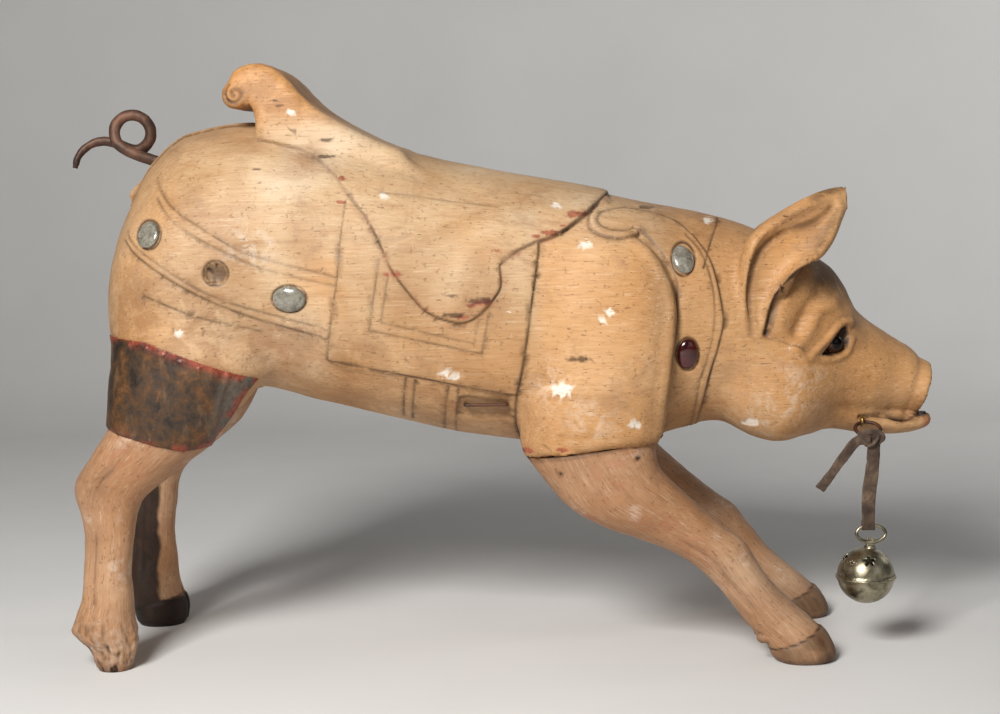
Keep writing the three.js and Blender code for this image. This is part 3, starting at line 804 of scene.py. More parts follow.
def sheet_iron(name):
    """Thin sheet with old brown paint, rust, and red paint along its nailed edges."""
    f = Finish(name, Metallic=0.25, Specular_IOR_Level=0.45)
    at = f.place()
    coarse = f.noise(at, 40.0, 8.0, 0.75, 0.2)
    fine = f.noise(at, 210.0, 6.0, 0.7)
    streak = f.noise(f.stretched(at, (60.0, 60.0, 14.0)), 1.0, 4.0, 0.6)
    rust = [(0.34, "231a15"), (0.46, "3e3025"), (0.54, "523820"), (0.62, "6c4728"), (0.7, "5d5347")]
    base = f.ramp(coarse, rust)
    base = f.mix(f.times(f.between(streak, 0.52, 0.7), 0.5), base, "8a6a4c")
    base = f.mix(f.times(f.value("grey"), 0.75), base, f.ramp(fine, [(0.35, "4f4941"), (0.6, "71695e")]))
    red = f.times(f.value("red"), f.between(coarse, 0.28, 0.46))
    base = f.mix(f.times(red, 0.9), base, f.ramp(fine, [(0.4, "7a2f22"), (0.6, "a34a33")]))
    base = f.mix(f.between(fine, 0.62, 0.7), base, "2a1b13")
    rough = f.plus(f.times(coarse, 0.5), 0.22)
    return f.finish(base, rough, [(fine, 0.35, 0.0005), (coarse, 0.4, 0.0015)])


def glass(name, light, dark, clear, rough):
    f = Finish(name, IOR=1.5, Transmission_Weight=clear, Coat_Weight=0.6, Coat_Roughness=0.05)
    at = f.place()
    cloud = f.noise(at, 120.0, 5.0, 0.65, 0.6)
    crust = f.noise(at, 420.0, 4.0, 0.6)
    base = f.ramp(cloud, [(0.34, dark), (0.62, light)])
    base = f.mix(f.times(f.between(crust, 0.58, 0.68), 0.6), base, "4f463a")
    return f.finish(base, f.plus(f.times(cloud, 0.25), rough), [(crust, 0.15, 0.0002)])


def eye_glass(name):
    """Black glass with a brown depth seen round the pupil."""
    f = Finish(name, IOR=1.4, Specular_IOR_Level=0.25, Coat_Weight=0.12, Coat_Roughness=0.05)
    at = f.place()
    depth = f.noise(at, 160.0, 3.0, 0.5, 0.3)
    pupil = f.value("pupil")
    base = f.mix(pupil, f.ramp(depth, [(0.35, "2a160c"), (0.65, "4a2a15")]), "060403")
    return f.finish(base, f.plus(f.times(depth, 0.2), 0.08), [(depth, 0.05, 0.0002)])


def bright_metal(name, light, dark, spot, metal):
    """Worn plated or brass metal with tarnish in blotches."""
    f = Finish(name, Metallic=metal)
    at = f.place()
    blotch = f.noise(at, 55.0, 5.0, 0.62, 0.6)
    fine = f.noise(at, 380.0, 4.0, 0.6)
    base = f.ramp(blotch, [(0.34, dark), (0.5, light), (0.68, spot)])
    base = f.mix(f.times(f.between(fine, 0.55, 0.72), 0.5), base, dark)
    rough = f.plus(f.times(blotch, 0.35), 0.16)
    return f.finish(base, rough, [(fine, 0.2, 0.0003), (blotch, 0.15, 0.0006)])


def leather(name):
    f = Finish(name, Specular_IOR_Level=0.3, Sheen_Weight=0.15)
    at = f.place()
    broad = f.noise(at, 60.0, 5.0, 0.6, 0.4)
    cells = f.node("TexVoronoi", Vector=at, Scale=900.0).outputs["Distance"]
    fibre = f.noise(f.stretched(at, (500.0, 500.0, 60.0)), 1.0, 4.0, 0.6)
    base = f.ramp(broad, [(0.32, "35261d"), (0.5, "514033"), (0.68, "77624f")])
    base = f.mix(f.times(f.between(fibre, 0.55, 0.7), 0.5), base, "3a2a20")
    rough = f.plus(f.times(broad, 0.3), 0.5)
    return f.finish(base, rough, [(cells, 0.3, 0.0004), (fibre, 0.4, 0.0006)])


BODY_PALETTE = ("9b7651", "b08d67", "c2a480", "cfb99d")
LEG_PALETTE = ("957053", "a98364", "b99677", "c8aa8c")
body_wood = wood("stripped_body_wood", BODY_PALETTE, "8a5f39", "cb9053", 0.44)
leg_wood = wood("stripped_leg_wood", LEG_PALETTE, "7a5133", "b98150", 0.46)
tail_iron = rusty_iron("tail_iron", "2a2320", "6d4d3c")
fitting_iron = rusty_iron("fitting_iron", "1d1714", "6a4431", 0.5)
thigh_metal = sheet_iron("thigh_sheet_iron")
clear_glass = glass("cloudy_glass", "b3b0a2", "6f6a5c", 0.45, 0.1)
red_glass = glass("red_glass", "5b120e", "26060a", 0.35, 0.06)
black_glass = eye_glass("eye_glass")
brass = bright_metal("worn_brass", "a98b4e", "5b4622", "c9b06f", 0.95)
nickel = bright_metal("tarnished_nickel", "9a927b", "5c5443", "bdb59c", 0.95)
thong_leather = leather("old_leather")


# Camera, at the photograph's place, distance and slight roll

CAMERA_PLACE = Vector((0.07218, -2.06701, 0.55362))
CAMERA_AHEAD = Vector((-0.03470, 0.99375, -0.10606)).normalized()
CAMERA_ROLL = math.radians(-1.3)
CAMERA_LENS = 64.8


def add_camera():
    data = bpy.data.cameras.new("camera")
    data.sensor_fit = "HORIZONTAL"
    data.sensor_width = 36.0
    data.lens = CAMERA_LENS
    camera = bpy.data.objects.new("camera", data)
    right = CAMERA_AHEAD.cross(Vector((0, 0, 1))).normalized()
    up = right.cross(CAMERA_AHEAD)
    turned_right = right * math.cos(CAMERA_ROLL) + up * math.sin(CAMERA_ROLL)
    turned_up = up * math.cos(CAMERA_ROLL) - right * math.sin(CAMERA_ROLL)
    camera.matrix_world = Matrix.Translation(CAMERA_PLACE) @ Matrix(
        (turned_right, turned_up, -CAMERA_AHEAD)
    ).transposed().to_4x4()
    bpy.context.scene.collection.objects.link(camera)
    bpy.context.scene.camera = camera


add_camera()

# The bell gear at the right corner of the mouth

BELL_Y = -75.94
RING_AT = np.array([411.8, -61.9, 250.9])
RING_RADIUS = 14
RING_WIRE = 2
RING_TILT = math.radians(25)
SCREW_EYE_AT = np.array([407, -49.8, 258])
SCREW_EYE_RADIUS = 5.6
SCREW_EYE_WIRE = 1.5
THONG_WIDTH = 15
THONG_THICK = 3
LOOSE_WIDTH = 11
BELL_AT = np.array([407, BELL_Y, 88])
BELL_RADIUS = 31.5
BELL_WALL = 1.6
LOOP_AT = np.array([413, BELL_Y, 135])
LOOP_HALF = (16, 9.5)
LOOP_WIRE = 1.9
LOOP_TILT = math.radians(80)

HANGING_ROUTE = [(415, 246), (416, 232), (415, 212), (412, 190), (410, 168), (410, 139)]
LOOSE_ROUTE = [(412, 240, -3), (397, 240, -4), (381, 222, -5), (368, 204, -6), (355, 187, -7)]
FOLD_ROUTE = [(410, 170), (410, 139)]
ROUTE_POINTS = 24


def strap_section(width, thick, curl):
    """A flat strap's section, with rounded edges and a slight curl, as steps across and up."""
    turn = 2 * math.pi * np.arange(28) / 28
    across = np.sign(np.cos(turn)) * np.abs(np.cos(turn)) ** 0.35 * width / 2
    up = np.sign(np.sin(turn)) * np.abs(np.sin(turn)) ** 0.7 * thick / 2
    return np.stack([across, up + curl * (np.abs(across) / (width / 2)) ** 2], 1)


def add_strap(name, route, width, thick, curl, seed, taper=0.0):
    """A leather strap along a route, with worn edges, a little uneven in width."""
    rings = sweep(even_route(route, 60), lambda t: strap_section(
        width * (1 - taper * t + 0.05 * math.sin(9 * t + seed)), thick, curl * math.sin(5 * t + seed)))
    points, faces = tube_mesh(rings)
    normals = point_normals(points, faces)
    points = points + normals * (0.35 * lumps(points, 4, seed) + 0.15 * lumps(points, 1.6, seed + 1))[:, None]
    return make_object(name, points, faces, thong_leather)


def add_knot():
    """The thong's knot round the front of the ring: two turns of flat leather over each other."""
    turn = np.linspace(0, 2 * math.pi, 97)[:-1]
    x = 413 + 10.5 * np.sin(turn) + 2.5 * np.sin(2 * turn)
    y = BELL_Y + 4.2 * np.cos(turn * 2 + 0.6)
    z = 242 + 6.5 * np.cos(turn)
    rings = sweep(np.stack([x, y, z], 1), lambda t: strap_section(8, 4.2, 0.4), closed=True)
    first, faces = ring_mesh(rings)
    cross_turn = np.linspace(0, 2 * math.pi, 73)[:-1]
    over = np.stack([
        415 + 6.5 * np.cos(cross_turn), BELL_Y + 5.2 * np.sin(cross_turn), 242 + 7 * np.sin(cross_turn + 0.9),
    ], 1)
    second, more = ring_mesh(sweep(over, lambda t: strap_section(6.5, 3.8, 0.3), up=(1, 0, 0), closed=True))
    points = np.concatenate([first, second])
    faces = np.concatenate([faces, more + len(first)])
    points = points + point_normals(points, faces) * (0.3 * lumps(points, 3, 41))[:, None]
    return make_object("thong_knot", points, faces, thong_leather, ["leather_thong"])


def bell_field(p):
    """Hollow round bell with a belt, a stem, a slot below and star-shaped holes above."""
    q = p - BELL_AT
    x, y, z = q.T
    far = np.linalg.norm(q, axis=1)
    flat = np.hypot(x, y)
    outer = far - BELL_RADIUS
    belt = np.maximum(flat - BELL_RADIUS - 2.0, np.abs(z + 1.5) - 1.3)
    band = np.maximum(flat - BELL_RADIUS - 0.7, np.abs(z + 1.5) - 3.2)
    stem = np.hypot(np.maximum(np.abs(x - 5) - 3.6, 0), np.maximum(np.abs(y) - 1.2, 0)) - 1.3
    stem = np.maximum(stem, np.abs(z - BELL_RADIUS - 4.5) - 6.5)
    foot = np.maximum(np.hypot(x - 5, y) - 6.5, np.abs(z - BELL_RADIUS) - 2.2)
    form = np.minimum(np.minimum(outer, belt), band)
    form = smooth_min(form, np.minimum(stem, foot), 1.5)
    form = np.maximum(form, BELL_RADIUS - BELL_WALL - far)
    slot = np.maximum(np.abs(y) - 2.6, np.maximum(np.abs(x) - 21, z + 12))
    form = np.maximum(form, -slot)
    eyelet = np.maximum(np.hypot(x - 5, z - BELL_RADIUS - 7) - 2.3, np.abs(y) - 6)
    form = np.maximum(form, -eyelet)
    for k in range(4):
        turn = math.radians(90 * k)
        out = np.array([math.sin(turn) * 0.743, -math.cos(turn) * 0.743, 0.669])
        side = np.array([math.cos(turn), math.sin(turn), 0])
        u = q @ side
        v = q @ np.cross(out, side)
        reach = np.hypot(u, v)
        star = reach - 4.6 - 2.1 * np.cos(5 * np.arctan2(u, v))
        form = np.maximum(form, -np.maximum(star, 20 - q @ out))
    return form


def add_bell():
    step = 0.95
    low = BELL_AT - BELL_RADIUS - 4
    high = BELL_AT + BELL_RADIUS + [4, 4, 14]
    points, faces = surface_net(bell_field, low, high, step)
    points = settle(bell_field, points, 2)
    normals = point_normals(points, faces)
    points = points + normals * (0.12 * lumps(points, 9, 51) + 0.05 * lumps(points, 3, 52))[:, None]
    return make_object("round_bell", points, faces, nickel, ["bell"])


def add_wire_ring(name, at, half, wire, tilt, material, node, seed):
    """A closed wire loop round the Z axis, tilted about X."""
    turn = np.linspace(0, 2 * math.pi, 97)[:-1]
    flat = np.stack([half[0] * np.cos(turn), half[1] * np.sin(turn), np.zeros(96)], 1)
    lean = np.array(Matrix.Rotation(tilt, 3, "X"))
    route = at + flat @ lean.T
    points, faces = ring_mesh(sweep(route, lambda t: circle(wire, 14), up=lean @ [0, 0, 1], closed=True))
    points = points + point_normals(points, faces) * (0.18 * lumps(points, 5, seed))[:, None]
    return make_object(name, points, faces, material, [node])


def add_screw_eye():
    """Brass eye screwed into the corner of the mouth."""
    turn = np.linspace(math.pi / 2 + 0.12, 2.5 * math.pi - 0.12, 60)
    loop = SCREW_EYE_AT + SCREW_EYE_RADIUS * np.stack([np.zeros(60), np.sin(turn), np.cos(turn)], 1)
    root = SCREW_EYE_AT + np.array([0.6, SCREW_EYE_RADIUS + 14, 0])
    shank = np.linspace(root, loop[0], 24)
    route = np.concatenate([shank[:-1], loop])
    points, faces = tube_mesh(sweep(route, lambda t: circle(SCREW_EYE_WIRE, 12), up=(1, 0, 0)))
    points = points + point_normals(points, faces) * (0.1 * lumps(points, 3, 61))[:, None]
    return make_object("screw_eye", points, faces, brass, ["mouth_screw_eye"])


def add_bell_gear():
    hanging = [(x, BELL_Y, z) for x, z in HANGING_ROUTE]
    loose = [(x, BELL_Y + aside, z) for x, z, aside in LOOSE_ROUTE]
    fold = [(x, BELL_Y + 2.6, z) for x, z in FOLD_ROUTE]
    strap = add_strap("thong_strap", hanging, THONG_WIDTH, THONG_THICK, 0.7, 3)
    loose_end = add_strap("thong_loose_end", loose, LOOSE_WIDTH, THONG_THICK, 0.9, 5)
    folded = add_strap("thong_fold", fold, THONG_WIDTH - 1, 2.4, 0.3, 7)
    knot = add_knot()
    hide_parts("leather_thong")
    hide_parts("leather_thong")
    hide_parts("leather_thong")
    bell = add_bell()
    loop = add_wire_ring(
        "bell_wire_loop", LOOP_AT, LOOP_HALF, LOOP_WIRE, LOOP_TILT, nickel, "bell_loop", 71)
    hanging_path = even_route(hanging, ROUTE_POINTS) * MM
    loose_path = even_route(loose, ROUTE_POINTS) * MM
    add_wire_ring(
        "iron_mouth_ring", RING_AT, (RING_RADIUS, RING_RADIUS), RING_WIRE, RING_TILT, fitting_iron,
        "mouth_ring", 73)
    add_screw_eye()


add_bell_gear()


# The carving on the wooden body

BOTH = (RIGHT, LEFT)


# dark is how dark the groove is painted, with grime and shade.
def groove(points, deep, wide, dark, sides=BOTH, curved=True):
    line = smooth_rows(points, 5) if curved else np.array(points, float)
    return {"line": line, "deep": deep, "wide": wide, "dark": dark, "sides": sides}


GROOVES = [
    groove(CRUPPER_UPPER, 1.3, 1.7, 0.55),
    groove(CRUPPER_UPPER_INNER, 1.2, 1.7, 0.5),
    groove(CRUPPER_LOWER_INNER, 1.2, 1.7, 0.5),
    groove(CRUPPER_LOWER, 1.5, 1.8, 0.7),
    groove(HAUNCH_CRACK, 1.4, 1.3, 0.8, (RIGHT,)),
    groove(SADDLE_REAR, 0.9, 1.5, 0.5),
    groove(SADDLE_SKIRT, 1.3, 1.6, 0.8),
    groove(SADDLE_FRONT, 1.5, 1.7, 0.9),
    groove(SEAT_CREASE, 0.7, 1.3, 0.45),
    groove(CLOTH_REAR, 1.2, 1.5, 0.7),
    groove(CLOTH_BOTTOM, 1.0, 1.5, 0.8),
    groove(CLOTH_FRONT, 1.8, 1.8, 0.95),
    groove(BORDER_OUTER, 0.8, 1.3, 0.6, BOTH, False),
    groove(BORDER_INNER, 0.8, 1.3, 0.5, BOTH, False),
    groove(SHOULDER_REAR, 1.8, 1.7, 0.9),
    groove(COLLAR_FRONT, 1.6, 1.8, 0.75),
    groove(COLLAR_INNER, 1.3, 1.6, 0.55),
    groove(COLLAR_REAR, 1.6, 1.9, 0.75),
    groove(SCROLL_OUTER, 1.8, 1.8, 0.8),
    groove(SCROLL_INNER, 1.4, 1.6, 0.7),
    groove(NECK_CRACK, 1.6, 1.2, 0.95, (RIGHT,)),
    groove(MOUTH, 5.5, 3.4, 1.0),
    groove(CHEEK_LEDGE, 1.2, 2.0, 0.28),
    groove(EAR_FRONT_GAP, 7.0, 5.0, 0.8),
    groove(EAR_BACK_FOLD, 4.0, 5.0, 0.55),
] + [groove(line, 1.6, 1.6, 0.75, BOTH, False) for line in GIRTH_LINES]

JEWELS = [BAND_FRONT, BAND_MIDDLE, BAND_REAR, COLLAR_UPPER, COLLAR_LOWER]
SADDLE_TOP = [(132, 620), (132, 740), (-340, 740), (-340, 624), (-266, 613), (-262, 592)]
SADDLE_AREA = SADDLE_REAR + SADDLE_SKIRT[1:] + SADDLE_FRONT[1:] + SADDLE_TOP
CLOTH_AREA = CLOTH_REAR + CLOTH_BOTTOM[1:] + CLOTH_FRONT[::-1][1:] + [(52, 540), (-160, 560)]
COLLAR_AREA = COLLAR_FRONT + COLLAR_REAR[::-1] + SCROLL_OUTER[::-1]
CRUPPER_AREA = CRUPPER_UPPER + CRUPPER_LOWER[::-1]
SHOULDER_AREA = SHOULDER_CREST + [(60, 232), (30, 300), (50, 430), (90, 495)]


def smooth_outline(points):
    return [tuple(v) for v in smooth_rows(points, 4)]


def spiral():
    """The line that the rolled end of the cantle shows on its side."""
    turn = np.linspace(0, 2.6 * math.pi, 40)
    radius = 12.5 * (1 - turn / (3.1 * math.pi))
    return [
        (CANTLE_ROLL[0] + r * math.cos(a + 2.2), CANTLE_ROLL[1] + r * math.sin(a + 2.2))
        for a, r in zip(turn, radius)
    ]


GROOVES.append(groove(spiral(), 3.0, 2.1, 0.95, BOTH, False))


def on_sides(p, sides):
    return np.isin(np.sign(p[:, 1]).astype(int), sides)


def wanted_edge(p):
    """How long an edge of the body's mesh may be: short at carved lines and on the face."""
    flat = p[:, [0, 2]]
    size = np.full(len(p), 11.5)
    size[p[:, 0] > 255] = 5.8
    face = (p[:, 0] > 325) & (p[:, 2] < 415)
    size[face] = 4.0
    for g in GROOVES:
        near = line_distance(flat, g["line"], 6) < g["wide"] + 1.0
        near &= on_sides(p, g["sides"]) & (np.abs(p[:, 1]) > 20)
        size[near] = np.where(p[near, 1] < 0, 2.3, 3.3)
    for x, z, across, up in JEWELS:
        rim = np.hypot((flat[:, 0] - x) / across, (flat[:, 1] - z) / up)
        size[(rim > 0.7) & (rim < 1.45)] = 2.4
    for x, z, half in RED_MARKS + DARK_MARKS + PALE_CHIPS:
        mark = np.hypot(flat[:, 0] - x, (flat[:, 1] - z) * 1.5)
        size[(mark < 1.3 * half) & (p[:, 1] < 0)] = 2.6
    strap = np.abs(np.abs(p[:, 1]) - STRAP_HALF_WIDTH)
    size[(strap < 4) & (p[:, 0] < -255) & (p[:, 2] > 510) & (p[:, 2] < 615)] = 2.8
    size[(p[:, 0] < -385) & (np.abs(p[:, 1]) < 32) & (p[:, 2] > 512) & (p[:, 2] < 552)] = 3.2
    eye = np.hypot(flat[:, 0] - EYE_X, flat[:, 1] - EYE_Z)
    size[(eye < 26) & (np.abs(p[:, 1]) > 40)] = 2.2
    return size


def carve(p, normals):
    """The carving's height at each point of the body, and how dark it is painted with grime and shade in its
    grooves, edges and recesses.
    """
    flat = p[:, [0, 2]]
    height = np.zeros(len(p))
    dirt_and_shade = np.zeros(len(p))
    sideways = smoothstep(0.12, 0.4, np.abs(normals[:, 1]))
    waver = 0.5 * lumps(p, 16, 5)
    lip = line_distance(flat, smooth_rows(SCROLL_OUTER, 5), 12)
    height += 2.2 * hump(lip - 4, 3) * within(flat, smooth_outline(COLLAR_AREA))
    layers = {}
    for name, area, raised, soft in (
        ("saddle", SADDLE_AREA, 5.0, 1.4), ("cloth", CLOTH_AREA, 2.4, 1.1), ("collar", COLLAR_AREA, 2.2, 1.3),
        ("crupper", CRUPPER_AREA, 1.2, 1.2),
    ):
        edge = step_in(flat, smooth_outline(area), 8) + waver
        layers[name] = raised * smoothstep(soft, -soft, edge)
    layers["saddle"] *= smoothstep(630, 588, p[:, 2])
    height += np.maximum(layers["saddle"], layers["cloth"]) + layers["collar"] + layers["crupper"]
    strap = np.abs(p[:, 1]) - STRAP_HALF_WIDTH
    on_rump = (p[:, 0] < -258) & (p[:, 2] > 515) & (p[:, 2] < 612)
    height += on_rump * 3.0 * smoothstep(1.2, -1.2, strap)
    # Grime and painted shade along the edges of the rump strap.
    dirt_and_shade = np.maximum(dirt_and_shade, on_rump * 0.75 * hump(strap - 1, 1.8))
    flap = on_rump * (p[:, 0] < -390) * smoothstep(2, -4, strap)
    height += 6.0 * flap * smoothstep(518, 526, p[:, 2]) * smoothstep(548, 527, p[:, 2])
    crest = line_distance(flat, smooth_rows(SHOULDER_CREST, 4), 110)
    behind = within(flat, smooth_outline(SHOULDER_AREA))
    front = 11 * smoothstep(9, 0, crest) - 2.5 * hump(crest - 9, 4)
    roll = np.where(behind, np.maximum(11.7 * np.exp(-(crest / 52) ** 1.4) - 0.7, 0), front)
    roll += behind * (2.4 * hump(crest - 4.5, 3) - 0.8 * hump(crest - 13, 4))
    height += roll * sideways * smoothstep(236, 262, flat[:, 1]) * smoothstep(484, 452, flat[:, 1])
    ledge = np.interp(flat[:, 0], [x for x, _ in CHEEK_LEDGE], [z for _, z in CHEEK_LEDGE]) - flat[:, 1]
    on_cheek = smoothstep(258, 268, flat[:, 0]) * smoothstep(352, 335, flat[:, 0]) * sideways
    height += 2.8 * on_cheek * smoothstep(-1, 1.5, ledge) * np.exp(-np.maximum(ledge, 0) / 32)
    panel = step_in(flat, GIRTH_PANEL)
    height -= 3.2 * smoothstep(1.2, -1.2, panel)
    # Grime and painted shade in the recessed panel.
    dirt_and_shade += 0.35 * smoothstep(3, -1, panel)
    for g in GROOVES:
        d = line_distance(flat, g["line"], 12)
        here = on_sides(p, g["sides"])
        uneven = 0.75 + 0.35 * lumps(p, 22, 11)
        height -= here * uneven * g["deep"] * np.clip(1 - d / g["wide"], 0, 1) ** 0.8
        # Grime and painted shade in and beside each groove.
        stain_and_shade = hump(d, 0.95 * g["wide"]) + 0.16 * hump(d, 5)
        dirt_and_shade = np.maximum(dirt_and_shade, here * g["dark"] * uneven * stain_and_shade)
    for x, z, across, up in JEWELS:
        rim = np.hypot((flat[:, 0] - x) / across, (flat[:, 1] - z) / up)
        on_body = sideways > 0.3
        height -= on_body * 1.6 * hump(rim - 1.02, 0.1)
        # Grime and painted shade round each jewel's socket.
        dirt_and_shade = np.maximum(dirt_and_shade, on_body * 0.9 * hump(rim - 1.03, 0.1))
    x, z, across, up = BAND_MIDDLE
    empty = np.hypot((flat[:, 0] - x) / across, (flat[:, 1] - z) / up)
    lost = (p[:, 1] < 0) & (empty < 1.3)
    floor = 0.9 * lumps(p, 4, 15) * smoothstep(0.9, 0.6, empty)
    height -= lost * (4.6 * smoothstep(1.0, 0.72, empty) + floor)
    # Painted shade and grime in the empty socket.
    dirt_and_shade = np.maximum(dirt_and_shade, lost * (0.85 * smoothstep(1.0, 0.8, empty)) * (0.75 + 0.35 * lumps(p, 5, 16)))
    return height, dirt_and_shade


def carve_face(p, normals):
    """Lids, brow folds, nostrils and the snout's rim, with painted shade in the eye, the folds, the nostrils,
    on the forehead's top and on the snout's front.
    """
    flat = p[:, [0, 2]]
    sideways = smoothstep(0.1, 0.45, np.abs(normals[:, 1]))
    height = np.zeros(len(p))
    dirt_and_shade = np.zeros(len(p))
    opening = step_in(flat, smooth_outline(EYE_OPENING), 24)
    height -= 7.0 * smoothstep(1.0, -2.5, opening) * sideways
    upper = line_distance(flat, smooth_rows(UPPER_LID, 5), 24)
    lower = line_distance(flat, smooth_rows(LOWER_LID, 5), 24)
    outside = smoothstep(-0.5, 1.5, opening)
    height += sideways * outside * (4.2 * hump(upper, 4.6) + 2.2 * hump(lower, 3.6))
    # Painted shade in the eye opening and in a line above the upper lid.
    dirt_and_shade = np.maximum(dirt_and_shade, sideways * (0.9 * smoothstep(1.0, -1.0, opening) + 0.35 * hump(opening, 2)))
    dirt_and_shade = np.maximum(dirt_and_shade, 0.3 * sideways * hump(upper - 7, 2))
    ridge = line_distance(flat, smooth_rows(BROW_RIDGE, 5), 40)
    valley = line_distance(flat, smooth_rows(BROW_VALLEY, 5), 40)
    bulge = line_distance(flat, smooth_rows(TEMPLE_BULGE, 5), 50)
    height += 4.5 * hump(ridge, 8) - 3.5 * hump(valley, 5.5) + 6.0 * hump(bulge, 13)
    # Painted shade in the brow valley.
    dirt_and_shade = np.maximum(dirt_and_shade, 0.22 * hump(valley, 5))
    # Painted shade: the upward-facing top of the forehead is darkened.
    crown = smoothstep(338, 356, p[:, 0]) * smoothstep(424, 398, p[:, 0]) * smoothstep(385, 400, p[:, 2])
    dirt_and_shade = np.maximum(dirt_and_shade, 0.62 * crown * smoothstep(0.15, 0.6, normals[:, 2]))
    ahead = (p[:, 0] - 485) * math.sin(math.radians(73)) - (p[:, 2] - 289) * math.cos(math.radians(73))
    facing = normals @ [math.sin(math.radians(73)), 0, -math.cos(math.radians(73))]
    on_snout = (p[:, 0] > 440) & (p[:, 2] > 257)
    height += on_snout * 2.2 * smoothstep(-13, -3, ahead) * smoothstep(0.85, 0.3, facing)
    height -= on_snout * 1.2 * hump(ahead + 15, 4.0) * smoothstep(0.85, 0.3, facing)
    nostril = np.hypot((np.abs(p[:, 1]) - 13) / 6.0, (p[:, 2] - 290) / 7.5)
    front = on_snout * smoothstep(0.4, 0.7, facing)
    height -= front * 7.0 * smoothstep(1.1, 0.5, nostril)
    # Painted shade with grime on the snout's front face, darkest in the nostrils.
    dirt_and_shade = np.maximum(dirt_and_shade, 0.6 * on_snout * smoothstep(-2, 3, ahead))
    height += 2.5 * hump(p[:, 0] - 487, 7) * smoothstep(259, 255, p[:, 2])
    dirt_and_shade = np.maximum(dirt_and_shade, front * (0.45 + 0.5 * smoothstep(1.2, 0.7, nostril)))
    return height, dirt_and_shade


def spots(p, places):
    """Soft round spots at places on the right side: x, z, radius."""
    total = np.zeros(len(p))
    for x, z, radius in places:
        total = np.maximum(total, np.exp(-(((p[:, 0] - x) ** 2 + (p[:, 2] - z) ** 2) / radius ** 2)))
    return total * (p[:, 1] < 0)


# Darker spots on the right side as x, z, radius: real stains, and the large ones low on the body are painted
# shade.
STAIN_AND_SHADE_SPOTS = [
    (-20, 405, 26), (185, 500, 30), (235, 482, 22), (350, 420, 22), (-205, 565, 22), (-310, 330, 50),
    (-400, 400, 80), (-320, 395, 70), (-240, 365, 60), (-150, 340, 50), (-60, 300, 60),
    (476, 268, 26), (20, 268, 34), (400, 275, 26), (425, 400, 40),
]
PALE_SPOTS = [(62, 318, 22), (330, 300, 34), (300, 270, 34), (100, 280, 26), (-260, 470, 30)]

# Marks on the right side, each as x, z and half its length along the grain: paint left in pores, dark
# dashes, and chips that show the white ground
RED_MARKS = [
    (90, 499, 11), (64, 480, 9), (46, 477, 5), (48, 501, 4), (75, 487, 4), (-104, 440, 9), (-13, 408, 10),
    (-24, 405, 5), (-35, 393, 6), (2, 463, 4), (-163, 543, 6), (-162, 518, 5), (30, 243, 9), (70, 246, 7),
]
DARK_MARKS = [
    (-13, 410, 15), (-45, 416, 7), (-45, 395, 13), (-240, 630, 6), (-233, 624, 5), (-219, 597, 5),
    (-182, 585, 7),
    (-182, 567, 9), (-254, 555, 4.5), (-268, 481, 3), (90, 345, 12), (169, 503, 8), (-225, 405, 7),
]
PALE_CHIPS = [
    (-117, 524, 4.5), (99, 466, 6.5), (123, 395, 5), (115, 386, 4), (71, 312, 10), (-56, 332, 5),
    (-45, 326, 6),
    (68, 508, 4.5), (279, 264, 7), (149, 273, 6), (237, 487, 5.5), (-221, 617, 4.5), (-340, 382, 4),
]


def marks(p, places, slim):
    """Ragged marks along the grain on the right side."""
    total = np.zeros(len(p))
    ragged = 0.6 * lumps(p, 3.0, 25)
    for x, z, half in places:
        size = np.hypot((p[:, 0] - x) / half, (p[:, 2] - z) / (slim * half))
        total = np.maximum(total, smoothstep(1.25, 0.75, size + ragged))
    return total * (p[:, 1] < 0)


def body_colours(p, dirt_and_shade, normals, triangles):
    flat = p[:, [0, 2]]
    cavity = hollowness(p, triangles, normals, 3)
    # Painted shade: hollows in the carving are darkened by how deep they lie.
    dirt_and_shade = np.clip(dirt_and_shade + 0.2 * smoothstep(0.6, 2.0, cavity), 0, 1)
    edge = np.minimum(line_distance(flat, SADDLE_SKIRT, 20), line_distance(flat, SADDLE_FRONT, 20))
    red = 0.4 * hump(edge, 3) * (p[:, 1] < 0)
    # Painted shade: surfaces facing downwards are darkened, along with the stain spots.
    stain_and_shade = np.maximum(0.75 * spots(p, STAIN_AND_SHADE_SPOTS), 0.45 * smoothstep(0.0, -0.8, normals[:, 2]))
    head = smoothstep(250, 320, p[:, 0])
    block = smoothstep(30, 60, p[:, 0]) * smoothstep(190, 150, p[:, 0]) * smoothstep(520, 470, p[:, 2])
    low = np.maximum(0.55 * smoothstep(430, 330, p[:, 2]), 0.6 * smoothstep(170, 215, p[:, 0]))
    on_cantle = smoothstep(590, 625, p[:, 2])
    stain_and_shade = np.maximum(stain_and_shade, 0.7 * on_cantle)
    red = np.maximum(red, 0.75 * smoothstep(478, 486, p[:, 0]) * smoothstep(263, 257, p[:, 2]))
    return {
        "dirt_and_shade": dirt_and_shade, "red": red, "stain_and_shade": np.clip(stain_and_shade, 0, 1), "pale": 0.35 * spots(p, PALE_SPOTS),
        "warm": np.clip(np.maximum(np.maximum(0.9 * head, 0.8 * block), np.maximum(low, on_cantle)), 0, 1),
        "red_mark": marks(p, RED_MARKS, 0.34), "dark_mark": marks(p, DARK_MARKS, 0.22),
        "chip": marks(p, PALE_CHIPS, 0.65), "hoof": np.zeros(len(p)), "grain": p * MM,
    }


